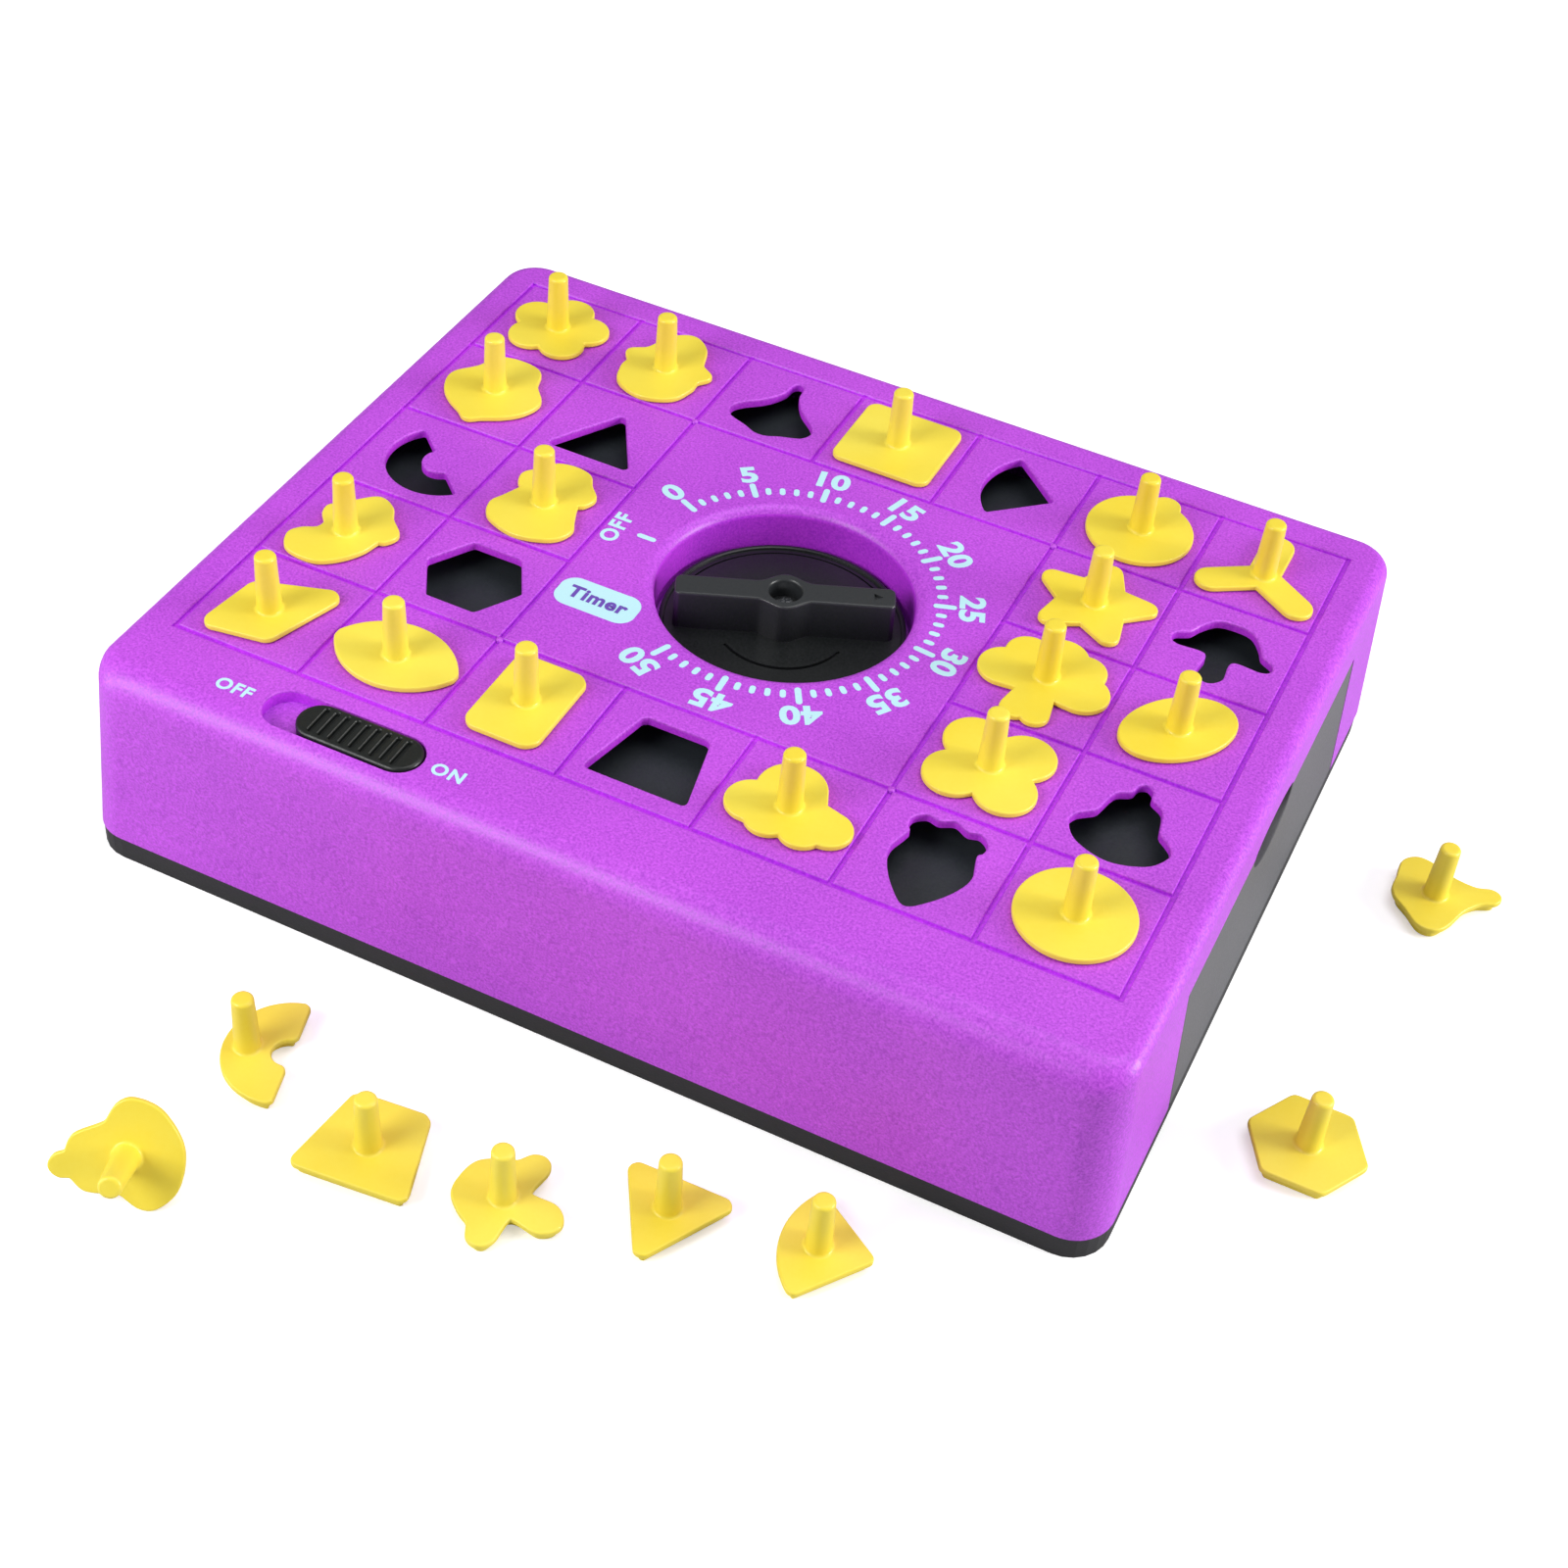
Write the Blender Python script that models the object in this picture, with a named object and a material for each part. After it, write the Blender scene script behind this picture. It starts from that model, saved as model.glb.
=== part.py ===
"""Pop-up shape timer game: housing with 26 shape holes, 25 pieces, dial timer, switch, drawer and ejector.

Metres, +Z up, origin on the dial's axis at the table, +X to the drawer's side, +Y to the back.
"""

import math

import bpy
import numpy as np
from mathutils import Matrix, Vector
from mathutils.geometry import delaunay_2d_cdt

# Driving dimensions: board and housing
CELL = 0.0300
COLUMNS = 7
ROWS = 5
TOP = 0.0500
BAND_TOP = 0.0058
SIDE_MARGIN = 0.0089
FRONT_MARGIN = 0.0200
BACK_MARGIN = 0.0100
SIDE_DRAFT = 0.0027
FRONT_DRAFT = 0.0030
BACK_DRAFT = 0.0020
CORNER_RADIUS = 0.0090
EDGE_FILLET = 0.0035
WALL = 0.0022
TOP_WALL = 0.0020
BAND_INSET = 0.0002
GAP = 0.0003
SPACING = 0.00012
TOLERANCE = 0.00022
BOSS_RADIUS = 0.0032
BOSS_SIDE_INSET = 0.0139
BOSS_FRONT_INSET = 0.0075
BOSS_CLEARANCE = 0.0008
PILOT_RADIUS = 0.0015

# Shape pieces
LIP = 0.0010
FLANGE = 0.0013
PLUG = 0.0025
STEM_HEIGHT = 0.0155
STEM_FOOT_RADIUS = 0.0027
STEM_TOP_RADIUS = 0.0023
STEM_FLARE = 0.0007
OUTLINE_ROUNDING = 0.0004

# Dial
KNOB_RADIUS = 0.0272
KNOB_DEPTH = 0.0096
KNOB_THICKNESS = 0.0024
KNOB_SIDE_GAP = 0.0012
KNOB_UNDER_GAP = 0.0006
RECESS_LIP_WIDTH = 0.0026
RECESS_LIP_DEPTH = 0.0024
CUP_WALL = 0.0020
KNOB_RIM = 0.0010
KNOB_RIM_HEIGHT = 0.0006
GRIP_END_INSET = 0.0032
GRIP_WIDTH = 0.0064
HUB_RADIUS = 0.0058
SCREW_HOLE_RADIUS = 0.0037
SCREW_HOLE_DEPTH = 0.0045
DIAL_SCREW_RADIUS = 0.0021
DIAL_SCREW_HEIGHT = 0.0014
DIAL_SCREW_SHANK = 0.0009
SHAFT_RADIUS = 0.0020
SHAFT_END = 0.0012

# Switch
SWITCH_X = -0.0576
SWITCH_INSET = 0.0101
SLOT_LENGTH = 0.0366
SLOT_WIDTH = 0.0108
SLOT_DEPTH = 0.0030
POCKET_FLOOR = 0.0015
SLIDER_SIDE_GAP = 0.0004
SLIDER_RISE = 0.0003
GROOVES = 9
GROOVE_PITCH = 0.0024
GROOVE_WIDTH = 0.0010
GROOVE_LENGTH = 0.0074
GROOVE_DEPTH = 0.0008
LINK_WIDTH = 0.0024
LINK_LENGTH = 0.0040
LINK_TRAVEL = 0.0076
LINK_THICKNESS = 0.0020
LINK_REACH_Y = -0.0300
LINK_REACH_X = -0.0350

# Drawer
PANEL_FRONT_INSET = 0.0173
PANEL_BACK_INSET = 0.0191
PANEL_DROP = 0.0110
PANEL_THICKNESS = 0.0024
NOTCH_Y = -0.0030
NOTCH_HALF_WIDTH = 0.0130
NOTCH_DEPTH = 0.0065
NOTCH_BULGE = 0.0026
DRAWER_BACK_X = 0.0380
DRAWER_DROP = 0.0080
DRAWER_WALL = 0.0016
DRAWER_INSET = 0.0012
RUNNER_HEIGHT = 0.0100
RUNNER_WIDTH = 0.0012
RUNNER_BACK_GAP = 0.0020
RUNNER_FRONT_INSET = 0.0049

# Base, ejector and springs
FLOOR = 0.0020
EJECTOR_DROP = 0.0058
EJECTOR_THICKNESS = 0.0020
EJECTOR_SIDE_INSET = 0.0069
EJECTOR_FRONT_MARGIN = 0.0025
EJECTOR_BACK_MARGIN = 0.0002
EJECTOR_CORNER = 0.0060
EJECTOR_HOLE_GAP = 0.0030
PIN_INSET = 0.0045
PIN_RADIUS = 0.0020
SEAT_RADIUS = 0.0065
SEAT_BORE_FLOOR = 0.0050
COIL_RADIUS = 0.0041
WIRE_RADIUS = 0.0006
COIL_TURNS = 5

# Latch
LATCH_STAND = 0.0060
LATCH_HALF_WIDTH = 0.0025
LATCH_HUB_RADIUS = 0.0038
LATCH_BORE = 0.0015
LATCH_PIN_RADIUS = 0.0012
LATCH_PIN_HALF = 0.0090
LATCH_BLADE = 0.0028
LATCH_HOOK_GAP = 0.0007
LATCH_HOOK_THICKNESS = 0.0017
LATCH_ARM_THICKNESS = 0.0020
LATCH_ARM_GAP = 0.0035
LATCH_SET_BACK = 0.0004
POST_INNER_X = 0.0050
POST_OUTER_X = 0.0080
POST_HALF_DEPTH = 0.0030
POST_OVER = 0.0039

# Clockwork
PLATE_LEFT = 0.0330
PLATE_RIGHT = 0.0290
PLATE_HALF_DEPTH = 0.0285
PLATE_CORNER = 0.0050
PLATE_THICKNESS = 0.0014
PILLAR_X = 0.0225
PILLAR_Y = 0.0240
PILLAR_RADIUS = 0.0018
BARREL_RADIUS = 0.0140
WHEEL_THICKNESS = 0.0015
CENTRE_MODULE = 0.0008
THIRD_MODULE = 0.0006
CENTRE_TEETH = 40
THIRD_PINION_TEETH = 10
THIRD_TEETH = 36
ESCAPE_PINION_TEETH = 9
ESCAPE_TEETH = 15
PINION_THICKNESS = 0.0026
ESCAPE_RADIUS = 0.0066
ESCAPE_TOOTH = 0.0016
ARBOR_RADIUS = 0.0008
ARBOR_BORE = 0.0011
PALLET_DISTANCE = 0.0120
PALLET_LENGTH = 0.0100
PALLET_WIDTH = 0.0022
CAM_RADIUS = 0.0100
CAM_DROP = 0.0020
TIMER_SCREW_OUTSET = 0.0030
TIMER_SCREW_RADIUS = 0.0011
TIMER_SCREW_HEAD = 0.0022
TIMER_SCREW_HEAD_HEIGHT = 0.0012
BASE_SCREW_HEAD = 0.0028
BASE_SCREW_HEAD_HEIGHT = 0.0012
BASE_SCREW_RADIUS = 0.0012

# Front edge's fillet in shares of the corner radius
FRONT_FILLET_SHARE = 0.76

# Heights inside, in shares of the room between the floor and the timer's upper plate
LOWER_PLATE_SHARE = 0.203
BARREL_FOOT_SHARE = 0.268
BARREL_TOP_SHARE = 0.428
CENTRE_SHARE = 0.472
THIRD_SHARE = 0.602
ESCAPE_SHARE = 0.711
CAM_FOOT_SHARE = 0.805
CAM_TOP_SHARE = 0.94
LATCH_ARM_SHARE = 0.82
LATCH_PIVOT_SHARE = 0.631
LATCH_FOOT_SHARE = 0.377
SEAT_TOP_SHARE = 0.377
PILOT_TOP_SHARE = 0.566
LINK_TOP_SHARE = 0.975

# Sizes and places that follow
GRID_HALF_WIDTH = CELL * COLUMNS / 2
GRID_HALF_DEPTH = CELL * ROWS / 2
TOP_HALF_WIDTH = GRID_HALF_WIDTH + SIDE_MARGIN
FOOT_HALF_WIDTH = TOP_HALF_WIDTH + SIDE_DRAFT
TOP_FRONT = GRID_HALF_DEPTH + FRONT_MARGIN
FOOT_FRONT = TOP_FRONT + FRONT_DRAFT
TOP_BACK = GRID_HALF_DEPTH + BACK_MARGIN
FOOT_BACK = TOP_BACK + BACK_DRAFT
FRONT_FILLET = CORNER_RADIUS * FRONT_FILLET_SHARE
RECESS_RADIUS = KNOB_RADIUS + KNOB_SIDE_GAP
RECESS_LIP_RADIUS = RECESS_RADIUS + RECESS_LIP_WIDTH
RECESS_DEPTH = KNOB_DEPTH + KNOB_THICKNESS + KNOB_UNDER_GAP
GRIP_REACH = KNOB_RADIUS - GRIP_END_INSET
SWITCH_Y = SWITCH_INSET - TOP_FRONT
SLIDER_WIDTH = SLOT_WIDTH - 2 * SLIDER_SIDE_GAP
SLIDER_LENGTH = SLOT_LENGTH - LINK_TRAVEL - 2 * GAP
PANEL_FRONT_Y = PANEL_FRONT_INSET - GRID_HALF_DEPTH
PANEL_BACK_Y = GRID_HALF_DEPTH - PANEL_BACK_INSET
PANEL_TOP = TOP - PANEL_DROP
DRAWER_TOP = PANEL_TOP - DRAWER_DROP
RUNNER_BACK_X = DRAWER_BACK_X + RUNNER_BACK_GAP
RUNNER_FRONT_X = TOP_HALF_WIDTH - RUNNER_FRONT_INSET
EJECTOR_TOP = TOP - TOP_WALL - EJECTOR_DROP
EJECTOR_HALF_WIDTH = TOP_HALF_WIDTH - EJECTOR_SIDE_INSET
EJECTOR_FRONT = GRID_HALF_DEPTH + EJECTOR_FRONT_MARGIN
EJECTOR_BACK = GRID_HALF_DEPTH + EJECTOR_BACK_MARGIN
EJECTOR_HOLE_RADIUS = RECESS_RADIUS + CUP_WALL + EJECTOR_HOLE_GAP
PIN_X = GRID_HALF_WIDTH - CELL
PIN_Y = GRID_HALF_DEPTH - PIN_INSET
BOSS_X = TOP_HALF_WIDTH - BOSS_SIDE_INSET
BOSS_BACK_Y = EJECTOR_BACK + BOSS_RADIUS + BOSS_CLEARANCE
BOSS_FRONT_Y = TOP_FRONT - BOSS_FRONT_INSET
UPPER_PLATE_TOP = TOP - RECESS_DEPTH - CUP_WALL - GAP
UPPER_PLATE_FOOT = UPPER_PLATE_TOP - PLATE_THICKNESS
ROOM = UPPER_PLATE_FOOT - FLOOR
LOWER_PLATE_FOOT = FLOOR + ROOM * LOWER_PLATE_SHARE
SHAFT_FOOT = LOWER_PLATE_FOOT - SHAFT_END
BARREL_FOOT = FLOOR + ROOM * BARREL_FOOT_SHARE
BARREL_TOP = FLOOR + ROOM * BARREL_TOP_SHARE
CENTRE_FOOT = FLOOR + ROOM * CENTRE_SHARE
THIRD_FOOT = FLOOR + ROOM * THIRD_SHARE
ESCAPE_FOOT = FLOOR + ROOM * ESCAPE_SHARE
CAM_FOOT = FLOOR + ROOM * CAM_FOOT_SHARE
CAM_TOP = FLOOR + ROOM * CAM_TOP_SHARE
SEAT_TOP = FLOOR + ROOM * SEAT_TOP_SHARE
PILOT_TOP = FLOOR + ROOM * PILOT_TOP_SHARE
LINK_TOP = FLOOR + ROOM * LINK_TOP_SHARE
LATCH_Y = -EJECTOR_FRONT - LATCH_STAND
LATCH_Z = FLOOR + ROOM * LATCH_PIVOT_SHARE
LATCH_FOOT = FLOOR + ROOM * LATCH_FOOT_SHARE
LATCH_ARM_FOOT = FLOOR + ROOM * LATCH_ARM_SHARE
LATCH_ARM_TOP = LATCH_ARM_FOOT + LATCH_ARM_THICKNESS
LATCH_HOOK_FOOT = EJECTOR_TOP + LATCH_HOOK_GAP
LATCH_HOOK_TOP = LATCH_HOOK_FOOT + LATCH_HOOK_THICKNESS
LATCH_REACH = -CAM_RADIUS - LATCH_ARM_GAP
POST_TOP = LATCH_Z + POST_OVER
TIMER_SCREW_REACH = CAM_RADIUS + TIMER_SCREW_OUTSET

# Angles, in degrees
POINTER = 24.3
SECOND_ARBOR = 180.0
THIRD_ARBOR = 70.0
PALLET_ARBOR = 40.0
TIMER_SCREWS = (325.0, 145.0)

# Outlines in shares of a cell, from its centre
LOBES_SHARES = {
    "flower": ((0, 0), [(0.235 * math.cos(math.radians(90 + 72 * k)),
                         0.235 * math.sin(math.radians(90 + 72 * k)), 0.15) for k in range(5)]),
    "spokes": ((0, -0.09), [(0, 0.30, 0.09), (0.33, -0.31, 0.09), (-0.33, -0.31, 0.09)]),
    "apple": ((0.01, -0.035), [(0.01, -0.035, 0.375), (0.09, 0.33, 0.085)]),
    "tree": ((0, 0.03), [(0.29, 0, 0.165), (-0.29, 0, 0.165), (0.03, 0.28, 0.165),
                         (0.22, 0.22, 0.135), (-0.20, 0.22, 0.135), (0.075, -0.37, 0.075),
                         (-0.075, -0.37, 0.075)]),
    "clover": ((0, 0), [(0.262 * math.cos(math.radians(45 + 90 * k)),
                         0.262 * math.sin(math.radians(45 + 90 * k)), 0.188) for k in range(4)]),
    "cloud": ((0, -0.02), [(-0.06, 0.125, 0.21), (-0.24, -0.10, 0.16), (0.31, -0.10, 0.135),
                           (0.16, -0.19, 0.13), (-0.08, -0.19, 0.135)]),
    "circle": ((0, 0), [(0, 0, 0.375)]),
}
POLYGON_SHARES = {
    "square": (0.06, [(0.3675, 0.3675), (-0.3675, 0.3675), (-0.3675, -0.3675), (0.3675, -0.3675)]),
    "rectangle": (0.07, [(0.25, 0.3775), (-0.25, 0.3775), (-0.25, -0.3775), (0.25, -0.3775)]),
    "triangle": (0.03, [(0, 0.29), (-0.36, -0.335), (0.36, -0.335)]),
    "kite": (0.06, [(-0.25, 0.10), (-0.32, -0.415), (0.155, -0.335), (0.355, 0.315)]),
    "trapezoid": (0.03, [(0.25, 0.31), (-0.25, 0.31), (-0.388, -0.33), (0.388, -0.33)]),
    "hexagon": (0.03, [(0.39 * math.cos(math.radians(60 * k)),
                        0.39 * math.sin(math.radians(60 * k))) for k in range(6)]),
    "star": (0.05, [(0.01 + (0.24 if k % 2 else 0.51) * math.cos(math.radians(90 + 36 * k)),
                     -0.02 + (0.24 if k % 2 else 0.51) * math.sin(math.radians(90 + 36 * k)))
                    for k in range(10)]),
}
HALF_SHARES = {
    "bell": [(0, 0.43), (0.145, 0.33), (0.225, 0.12), (0.345, 0.02), (0.285, -0.09),
             (0.285, -0.20), (0.215, -0.375), (0, -0.46)],
    "onion": [(0, 0.37), (0.045, 0.33), (0.06, 0.21), (0.15, 0.06), (0.29, -0.07),
              (0.345, -0.17), (0.30, -0.27), (0.15, -0.33), (0.06, -0.375), (0, -0.385)],
    "peach": [(0, 0.405), (0.17, 0.36), (0.24, 0.19), (0.365, 0.02), (0.33, -0.145),
              (0.225, -0.265), (0.09, -0.35), (0, -0.415)],
    "mushroom": [(0, 0.325), (0.13, 0.30), (0.22, 0.19), (0.27, 0.09), (0.36, 0.03),
                 (0.375, -0.04), (0.31, -0.085), (0.10, -0.09), (0.095, -0.30), (0, -0.385)],
    "gourd": [(0, 0.42), (0.125, 0.39), (0.19, 0.29), (0.28, 0.185), (0.26, 0.09),
              (0.21, 0.035), (0.27, -0.13), (0.315, -0.25), (0.24, -0.385), (0, -0.46)],
    "bulb": [(0, 0.40), (0.05, 0.365), (0.07, 0.29), (0.165, 0.22), (0.205, 0.07), (0.23, 0),
             (0.33, -0.09), (0.345, -0.19), (0.24, -0.33), (0, -0.405)],
    "strawberry": [(0, 0.43), (0.10, 0.385), (0.19, 0.40), (0.265, 0.335), (0.265, 0.25),
                   (0.24, 0.20), (0.287, 0.01), (0.24, -0.155), (0.13, -0.32), (0, -0.43)],
}
EGGPLANT_SHARES = [
    (-0.015, 0.36), (0.10, 0.31), (0.17, 0.20), (0.295, 0.075), (0.27, -0.02),
    (0.215, -0.055), (0.18, -0.20), (0.095, -0.34), (-0.03, -0.44), (-0.18, -0.45),
    (-0.29, -0.41), (-0.345, -0.30), (-0.30, -0.22), (-0.205, -0.155), (-0.19, -0.055),
    (-0.26, 0.035), (-0.27, 0.11), (-0.21, 0.15), (-0.115, 0.275)]
GOURD_SHIFT_SHARE = 0.03
SECTOR_SHARES = {"apex_share": 0.31, "radius_share": 0.56, "half_angle": 43.0}
RING_SHARES = {"x_share": 0.09, "y_share": 0.04, "radius_share": 0.41, "notch_share": 0.14,
               "chord_angle": -43.2}
LENS_SHARES = {"half_width_share": 0.455, "half_height_share": 0.295, "y_share": -0.045}
EGG_SHARES = {"long_share": 0.42, "short_share": 0.265, "turn_angle": 50.0}

# Outline in each cell, rows from the back; the dial takes the nine cells in the middle
LAYOUT = (
    ("flower", "bell", "onion", "square", "sector", "apple", "spokes"),
    ("peach", "triangle", "", "", "", "star", "mushroom"),
    ("half_ring", "gourd", "", "", "", "tree", "egg"),
    ("eggplant", "hexagon", "", "", "", "clover", "bulb"),
    ("kite", "lens", "rectangle", "trapezoid", "cloud", "strawberry", "circle"))
CELLS = {name: (row, column) for row, names in enumerate(LAYOUT)
         for column, name in enumerate(names) if name}

# Pieces lying loose on the table: stem's place in cells and turn in degrees
LOOSE_SHARES = {
    "half_ring": (-1.763, -4.373, -31.0), "trapezoid": (-0.620, -4.693, 6.0),
    "mushroom": (0.343, -4.630, 86.0), "triangle": (1.300, -4.200, 181.0),
    "sector": (2.273, -4.007, 11.0), "hexagon": (4.810, -1.683, 0.0),
    "onion": (4.960, 1.043, -65.0)}
# The bulb stands on its edge: stem foot's place in cells, stem direction and turn about it
BULB_SHARES = (-1.830, -5.534)
BULB_STEM_ANGLES = (-65.3, 29.0)
BULB_TURN = 101.4

# Stem's place where it isn't the outline's centroid
STEM_SHARES = {"spokes": (0, -0.07), "half_ring": (-0.098, -0.160)}

SLICES = 6
DENSE_SHARE = 0.02
FINE = GAP / 100
SIDES = 20
MATERIALS = {
    "purple_plastic": ((0.55, 0.09, 0.80), 0.45, 0.0),
    "black_plastic": ((0.013, 0.015, 0.016), 0.45, 0.0),
    "yellow_plastic": ((0.90, 0.62, 0.03), 0.35, 0.0),
    "grey_plastic": ((0.24, 0.24, 0.25), 0.45, 0.0),
    "steel": ((0.60, 0.60, 0.62), 0.30, 1.0),
    "brass": ((0.72, 0.52, 0.20), 0.30, 1.0),
}


def clear_scene():
    for item in list(bpy.data.objects):
        bpy.data.objects.remove(item, do_unlink=True)


def material(name):
    found = bpy.data.materials.get(name)
    if found:
        return found
    colour, roughness, metallic = MATERIALS[name]
    made = bpy.data.materials.new(name)
    made.use_nodes = True
    shader = made.node_tree.nodes["Principled BSDF"]
    shader.inputs["Base Color"].default_value = (*colour, 1)
    shader.inputs["Roughness"].default_value = roughness
    shader.inputs["Metallic"].default_value = metallic
    made.diffuse_color = (*colour, 1)
    return made


def make_object(name, verts, faces, look=None, origin=(0, 0, 0), matrix=None):
    """One mesh object; verts are in world space and the object's origin goes to the given point."""
    home = Vector(origin)
    points = [(matrix @ Vector(v) if matrix else Vector(v)) - home for v in verts]
    mesh = bpy.data.meshes.new(name)
    mesh.from_pydata(points, [], faces)
    mesh.validate()
    mesh.shade_smooth()
    mesh.set_sharp_from_angle(angle=math.radians(35))
    made = bpy.data.objects.new(name, mesh)
    made.location = home
    bpy.context.collection.objects.link(made)
    if look:
        mesh.materials.append(material(look))
    return made


def combine(target, tool, operation):
    """Applies the tool to the target and removes the tool."""
    modifier = target.modifiers.new(operation, "BOOLEAN")
    modifier.solver = "EXACT"
    modifier.operation = operation
    modifier.object = tool
    bpy.context.view_layer.update()
    graph = bpy.context.evaluated_depsgraph_get()
    mesh = bpy.data.meshes.new_from_object(target.evaluated_get(graph))
    target.modifiers.remove(modifier)
    target.data = mesh
    mesh.shade_smooth()
    mesh.set_sharp_from_angle(angle=math.radians(35))
    bpy.data.objects.remove(tool, do_unlink=True)
    return target


# Plane outlines, counter-clockwise


def signed_area(points):
    p = np.asarray(points)
    q = np.roll(p, -1, axis=0)
    return float((p[:, 0] * q[:, 1] - q[:, 0] * p[:, 1]).sum() / 2)


def centroid(points):
    p = np.asarray(points)
    q = np.roll(p, -1, axis=0)
    cross = p[:, 0] * q[:, 1] - q[:, 0] * p[:, 1]
    return ((p + q) * cross[:, None]).sum(axis=0) / (3 * cross.sum())


def distances(points, outline):
    """Distance of each point from the closed outline."""
    p = np.asarray(points)[:, None, :]
    a = np.asarray(outline)[None, :, :]
    run = np.roll(a, -1, axis=1) - a
    share = ((p - a) * run).sum(axis=2) / np.maximum((run * run).sum(axis=2), FINE ** 2)
    nearest = a + np.clip(share, 0, 1)[:, :, None] * run
    return np.sqrt(((p - nearest) ** 2).sum(axis=2)).min(axis=1)


def spaced(outline, step):
    """The outline's points thinned so that none stand closer than the step."""
    kept = [outline[0]]
    for point in outline[1:]:
        if math.dist(point, kept[-1]) >= step:
            kept.append(point)
    if math.dist(kept[0], kept[-1]) < step:
        kept.pop()
    return np.array(kept)


def untangled(outline):
    """The outline without the small loops where two stretches of it cross."""
    p = [tuple(point) for point in outline]

    def side(a, b, c):
        return (b[0] - a[0]) * (c[1] - a[1]) - (b[1] - a[1]) * (c[0] - a[0])

    def crossing(a, b, c, d):
        return side(a, b, c) * side(a, b, d) < 0 and side(c, d, a) * side(c, d, b) < 0

    i = 0
    while i < len(p):
        q = p[i:] + p[:i]
        reach = min(len(q) // 3, 24)
        for j in range(reach, 1, -1):
            if crossing(q[0], q[1], q[j], q[j + 1]):
                q = q[:1] + q[j + 1:]
                p = q
                i = -1
                break
        i += 1
    return np.array(p)


def grown(outline, amount):
    """The outline moved outwards by the amount, or inwards if it is below zero."""
    p = spaced(np.asarray(outline), SPACING)
    if not amount:
        return p
    run = np.roll(p, -1, axis=0) - p
    run /= np.linalg.norm(run, axis=1)[:, None]
    normal = np.stack([run[:, 1], -run[:, 0]], axis=1)
    moved = []
    for i in range(len(p)):
        before = normal[i - 1]
        after = normal[i]
        turn = math.atan2(before[0] * after[1] - before[1] * after[0], float(before @ after))
        middle = before + after
        if turn * amount <= 0 or abs(turn) < math.radians(20):
            moved.append(p[i] + amount * middle / np.linalg.norm(middle))
            continue
        steps = math.ceil(abs(turn) / math.radians(12))
        start = math.atan2(before[1], before[0])
        for k in range(steps + 1):
            angle = start + turn * k / steps
            moved.append(p[i] + amount * np.array([math.cos(angle), math.sin(angle)]))
    moved = np.array(moved)
    moved = moved[distances(moved, p) > abs(amount) * 0.96]
    return untangled(spaced(moved, SPACING))


def rounded(outline, radius):
    """Convex corners rounded by shrinking and growing again."""
    return grown(grown(outline, -radius), radius)


def simplified(outline, tolerance):
    """The fewest of the outline's own points that stay within the tolerance."""
    p = np.asarray(outline)
    far = int(np.argmax(np.linalg.norm(p - p[0], axis=1)))
    closed = np.concatenate([p, p[:1]])
    keep = {0, far}
    spans = [(0, far), (far, len(p))]
    while spans:
        a, b = spans.pop()
        if b - a < 2:
            continue
        chord = closed[b] - closed[a]
        length = np.linalg.norm(chord)
        between = closed[a + 1:b] - closed[a]
        off = abs(between[:, 0] * chord[1] - between[:, 1] * chord[0]) / max(length, FINE)
        worst = int(np.argmax(off))
        if off[worst] > tolerance:
            middle = a + 1 + worst
            keep.add(middle)
            spans += [(a, middle), (middle, b)]
    return p[sorted(keep)]


def densified(corners, step):
    points = []
    for a, b in zip(corners, corners[1:] + corners[:1]):
        count = max(1, math.ceil(math.dist(a, b) / step))
        points += [(a[0] + (b[0] - a[0]) * k / count, a[1] + (b[1] - a[1]) * k / count)
                   for k in range(count)]
    return points


def lobed(centre, lobes):
    """Union of round-ended arms from the centre, as a curve round it."""
    c = np.array(centre, float)
    angles = np.radians(np.arange(0, 360, 2))
    rays = np.stack([np.cos(angles), np.sin(angles)], axis=1)
    reach = np.zeros(len(angles))
    for x, y, radius in lobes:
        for share in np.linspace(0, 1, 25):
            d = (np.array([x, y]) - c) * share
            along = rays @ d
            side = rays[:, 0] * d[1] - rays[:, 1] * d[0]
            hit = radius ** 2 - side ** 2
            reach = np.maximum(reach, np.where(hit > 0, along + np.sqrt(np.maximum(hit, 0)), 0))
    return c + rays * reach[:, None]


def curved(points):
    """Closed curve through the points."""
    p = np.asarray(points, float)
    found = []
    for i in range(len(p)):
        a, b, c, d = p[i - 1], p[i], p[(i + 1) % len(p)], p[(i + 2) % len(p)]
        for k in range(SLICES):
            t = k / SLICES
            weights = (2 * t ** 2 - t - t ** 3, 2 - 5 * t ** 2 + 3 * t ** 3,
                       t + 4 * t ** 2 - 3 * t ** 3, t ** 3 - t ** 2)
            found.append(sum(weight / 2 * point for weight, point in zip(weights, (a, b, c, d))))
    return np.array(found)


def mirrored(half):
    """Whole outline from its right half, given from the top down."""
    return [(-x, y) for x, y in half] + [(x, y) for x, y in half[-2:0:-1]]


def arc(centre, radius, start, end, count):
    return [(centre[0] + radius * math.cos(math.radians(start + (end - start) * k / count)),
             centre[1] + radius * math.sin(math.radians(start + (end - start) * k / count)))
            for k in range(count + 1)]


def circle(radius, sides=SIDES, centre=(0, 0)):
    return arc(centre, radius, 0, 360, sides)[:-1]


def rectangle(x0, x1, y0, y1, radius=0):
    points = [(x0, y0), (x1, y0), (x1, y1), (x0, y1)]
    if not radius:
        return points
    return (arc((x1 - radius, y1 - radius), radius, 0, 90, 5)
            + arc((x0 + radius, y1 - radius), radius, 90, 180, 5)
            + arc((x0 + radius, y0 + radius), radius, 180, 270, 5)
            + arc((x1 - radius, y0 + radius), radius, 270, 360, 5))


def stadium(length, width, centre):
    x, y = centre
    half = (length - width) / 2
    return (arc((x + half, y), width / 2, -90, 90, 9) + arc((x - half, y), width / 2, 90, 270, 9))


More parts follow.
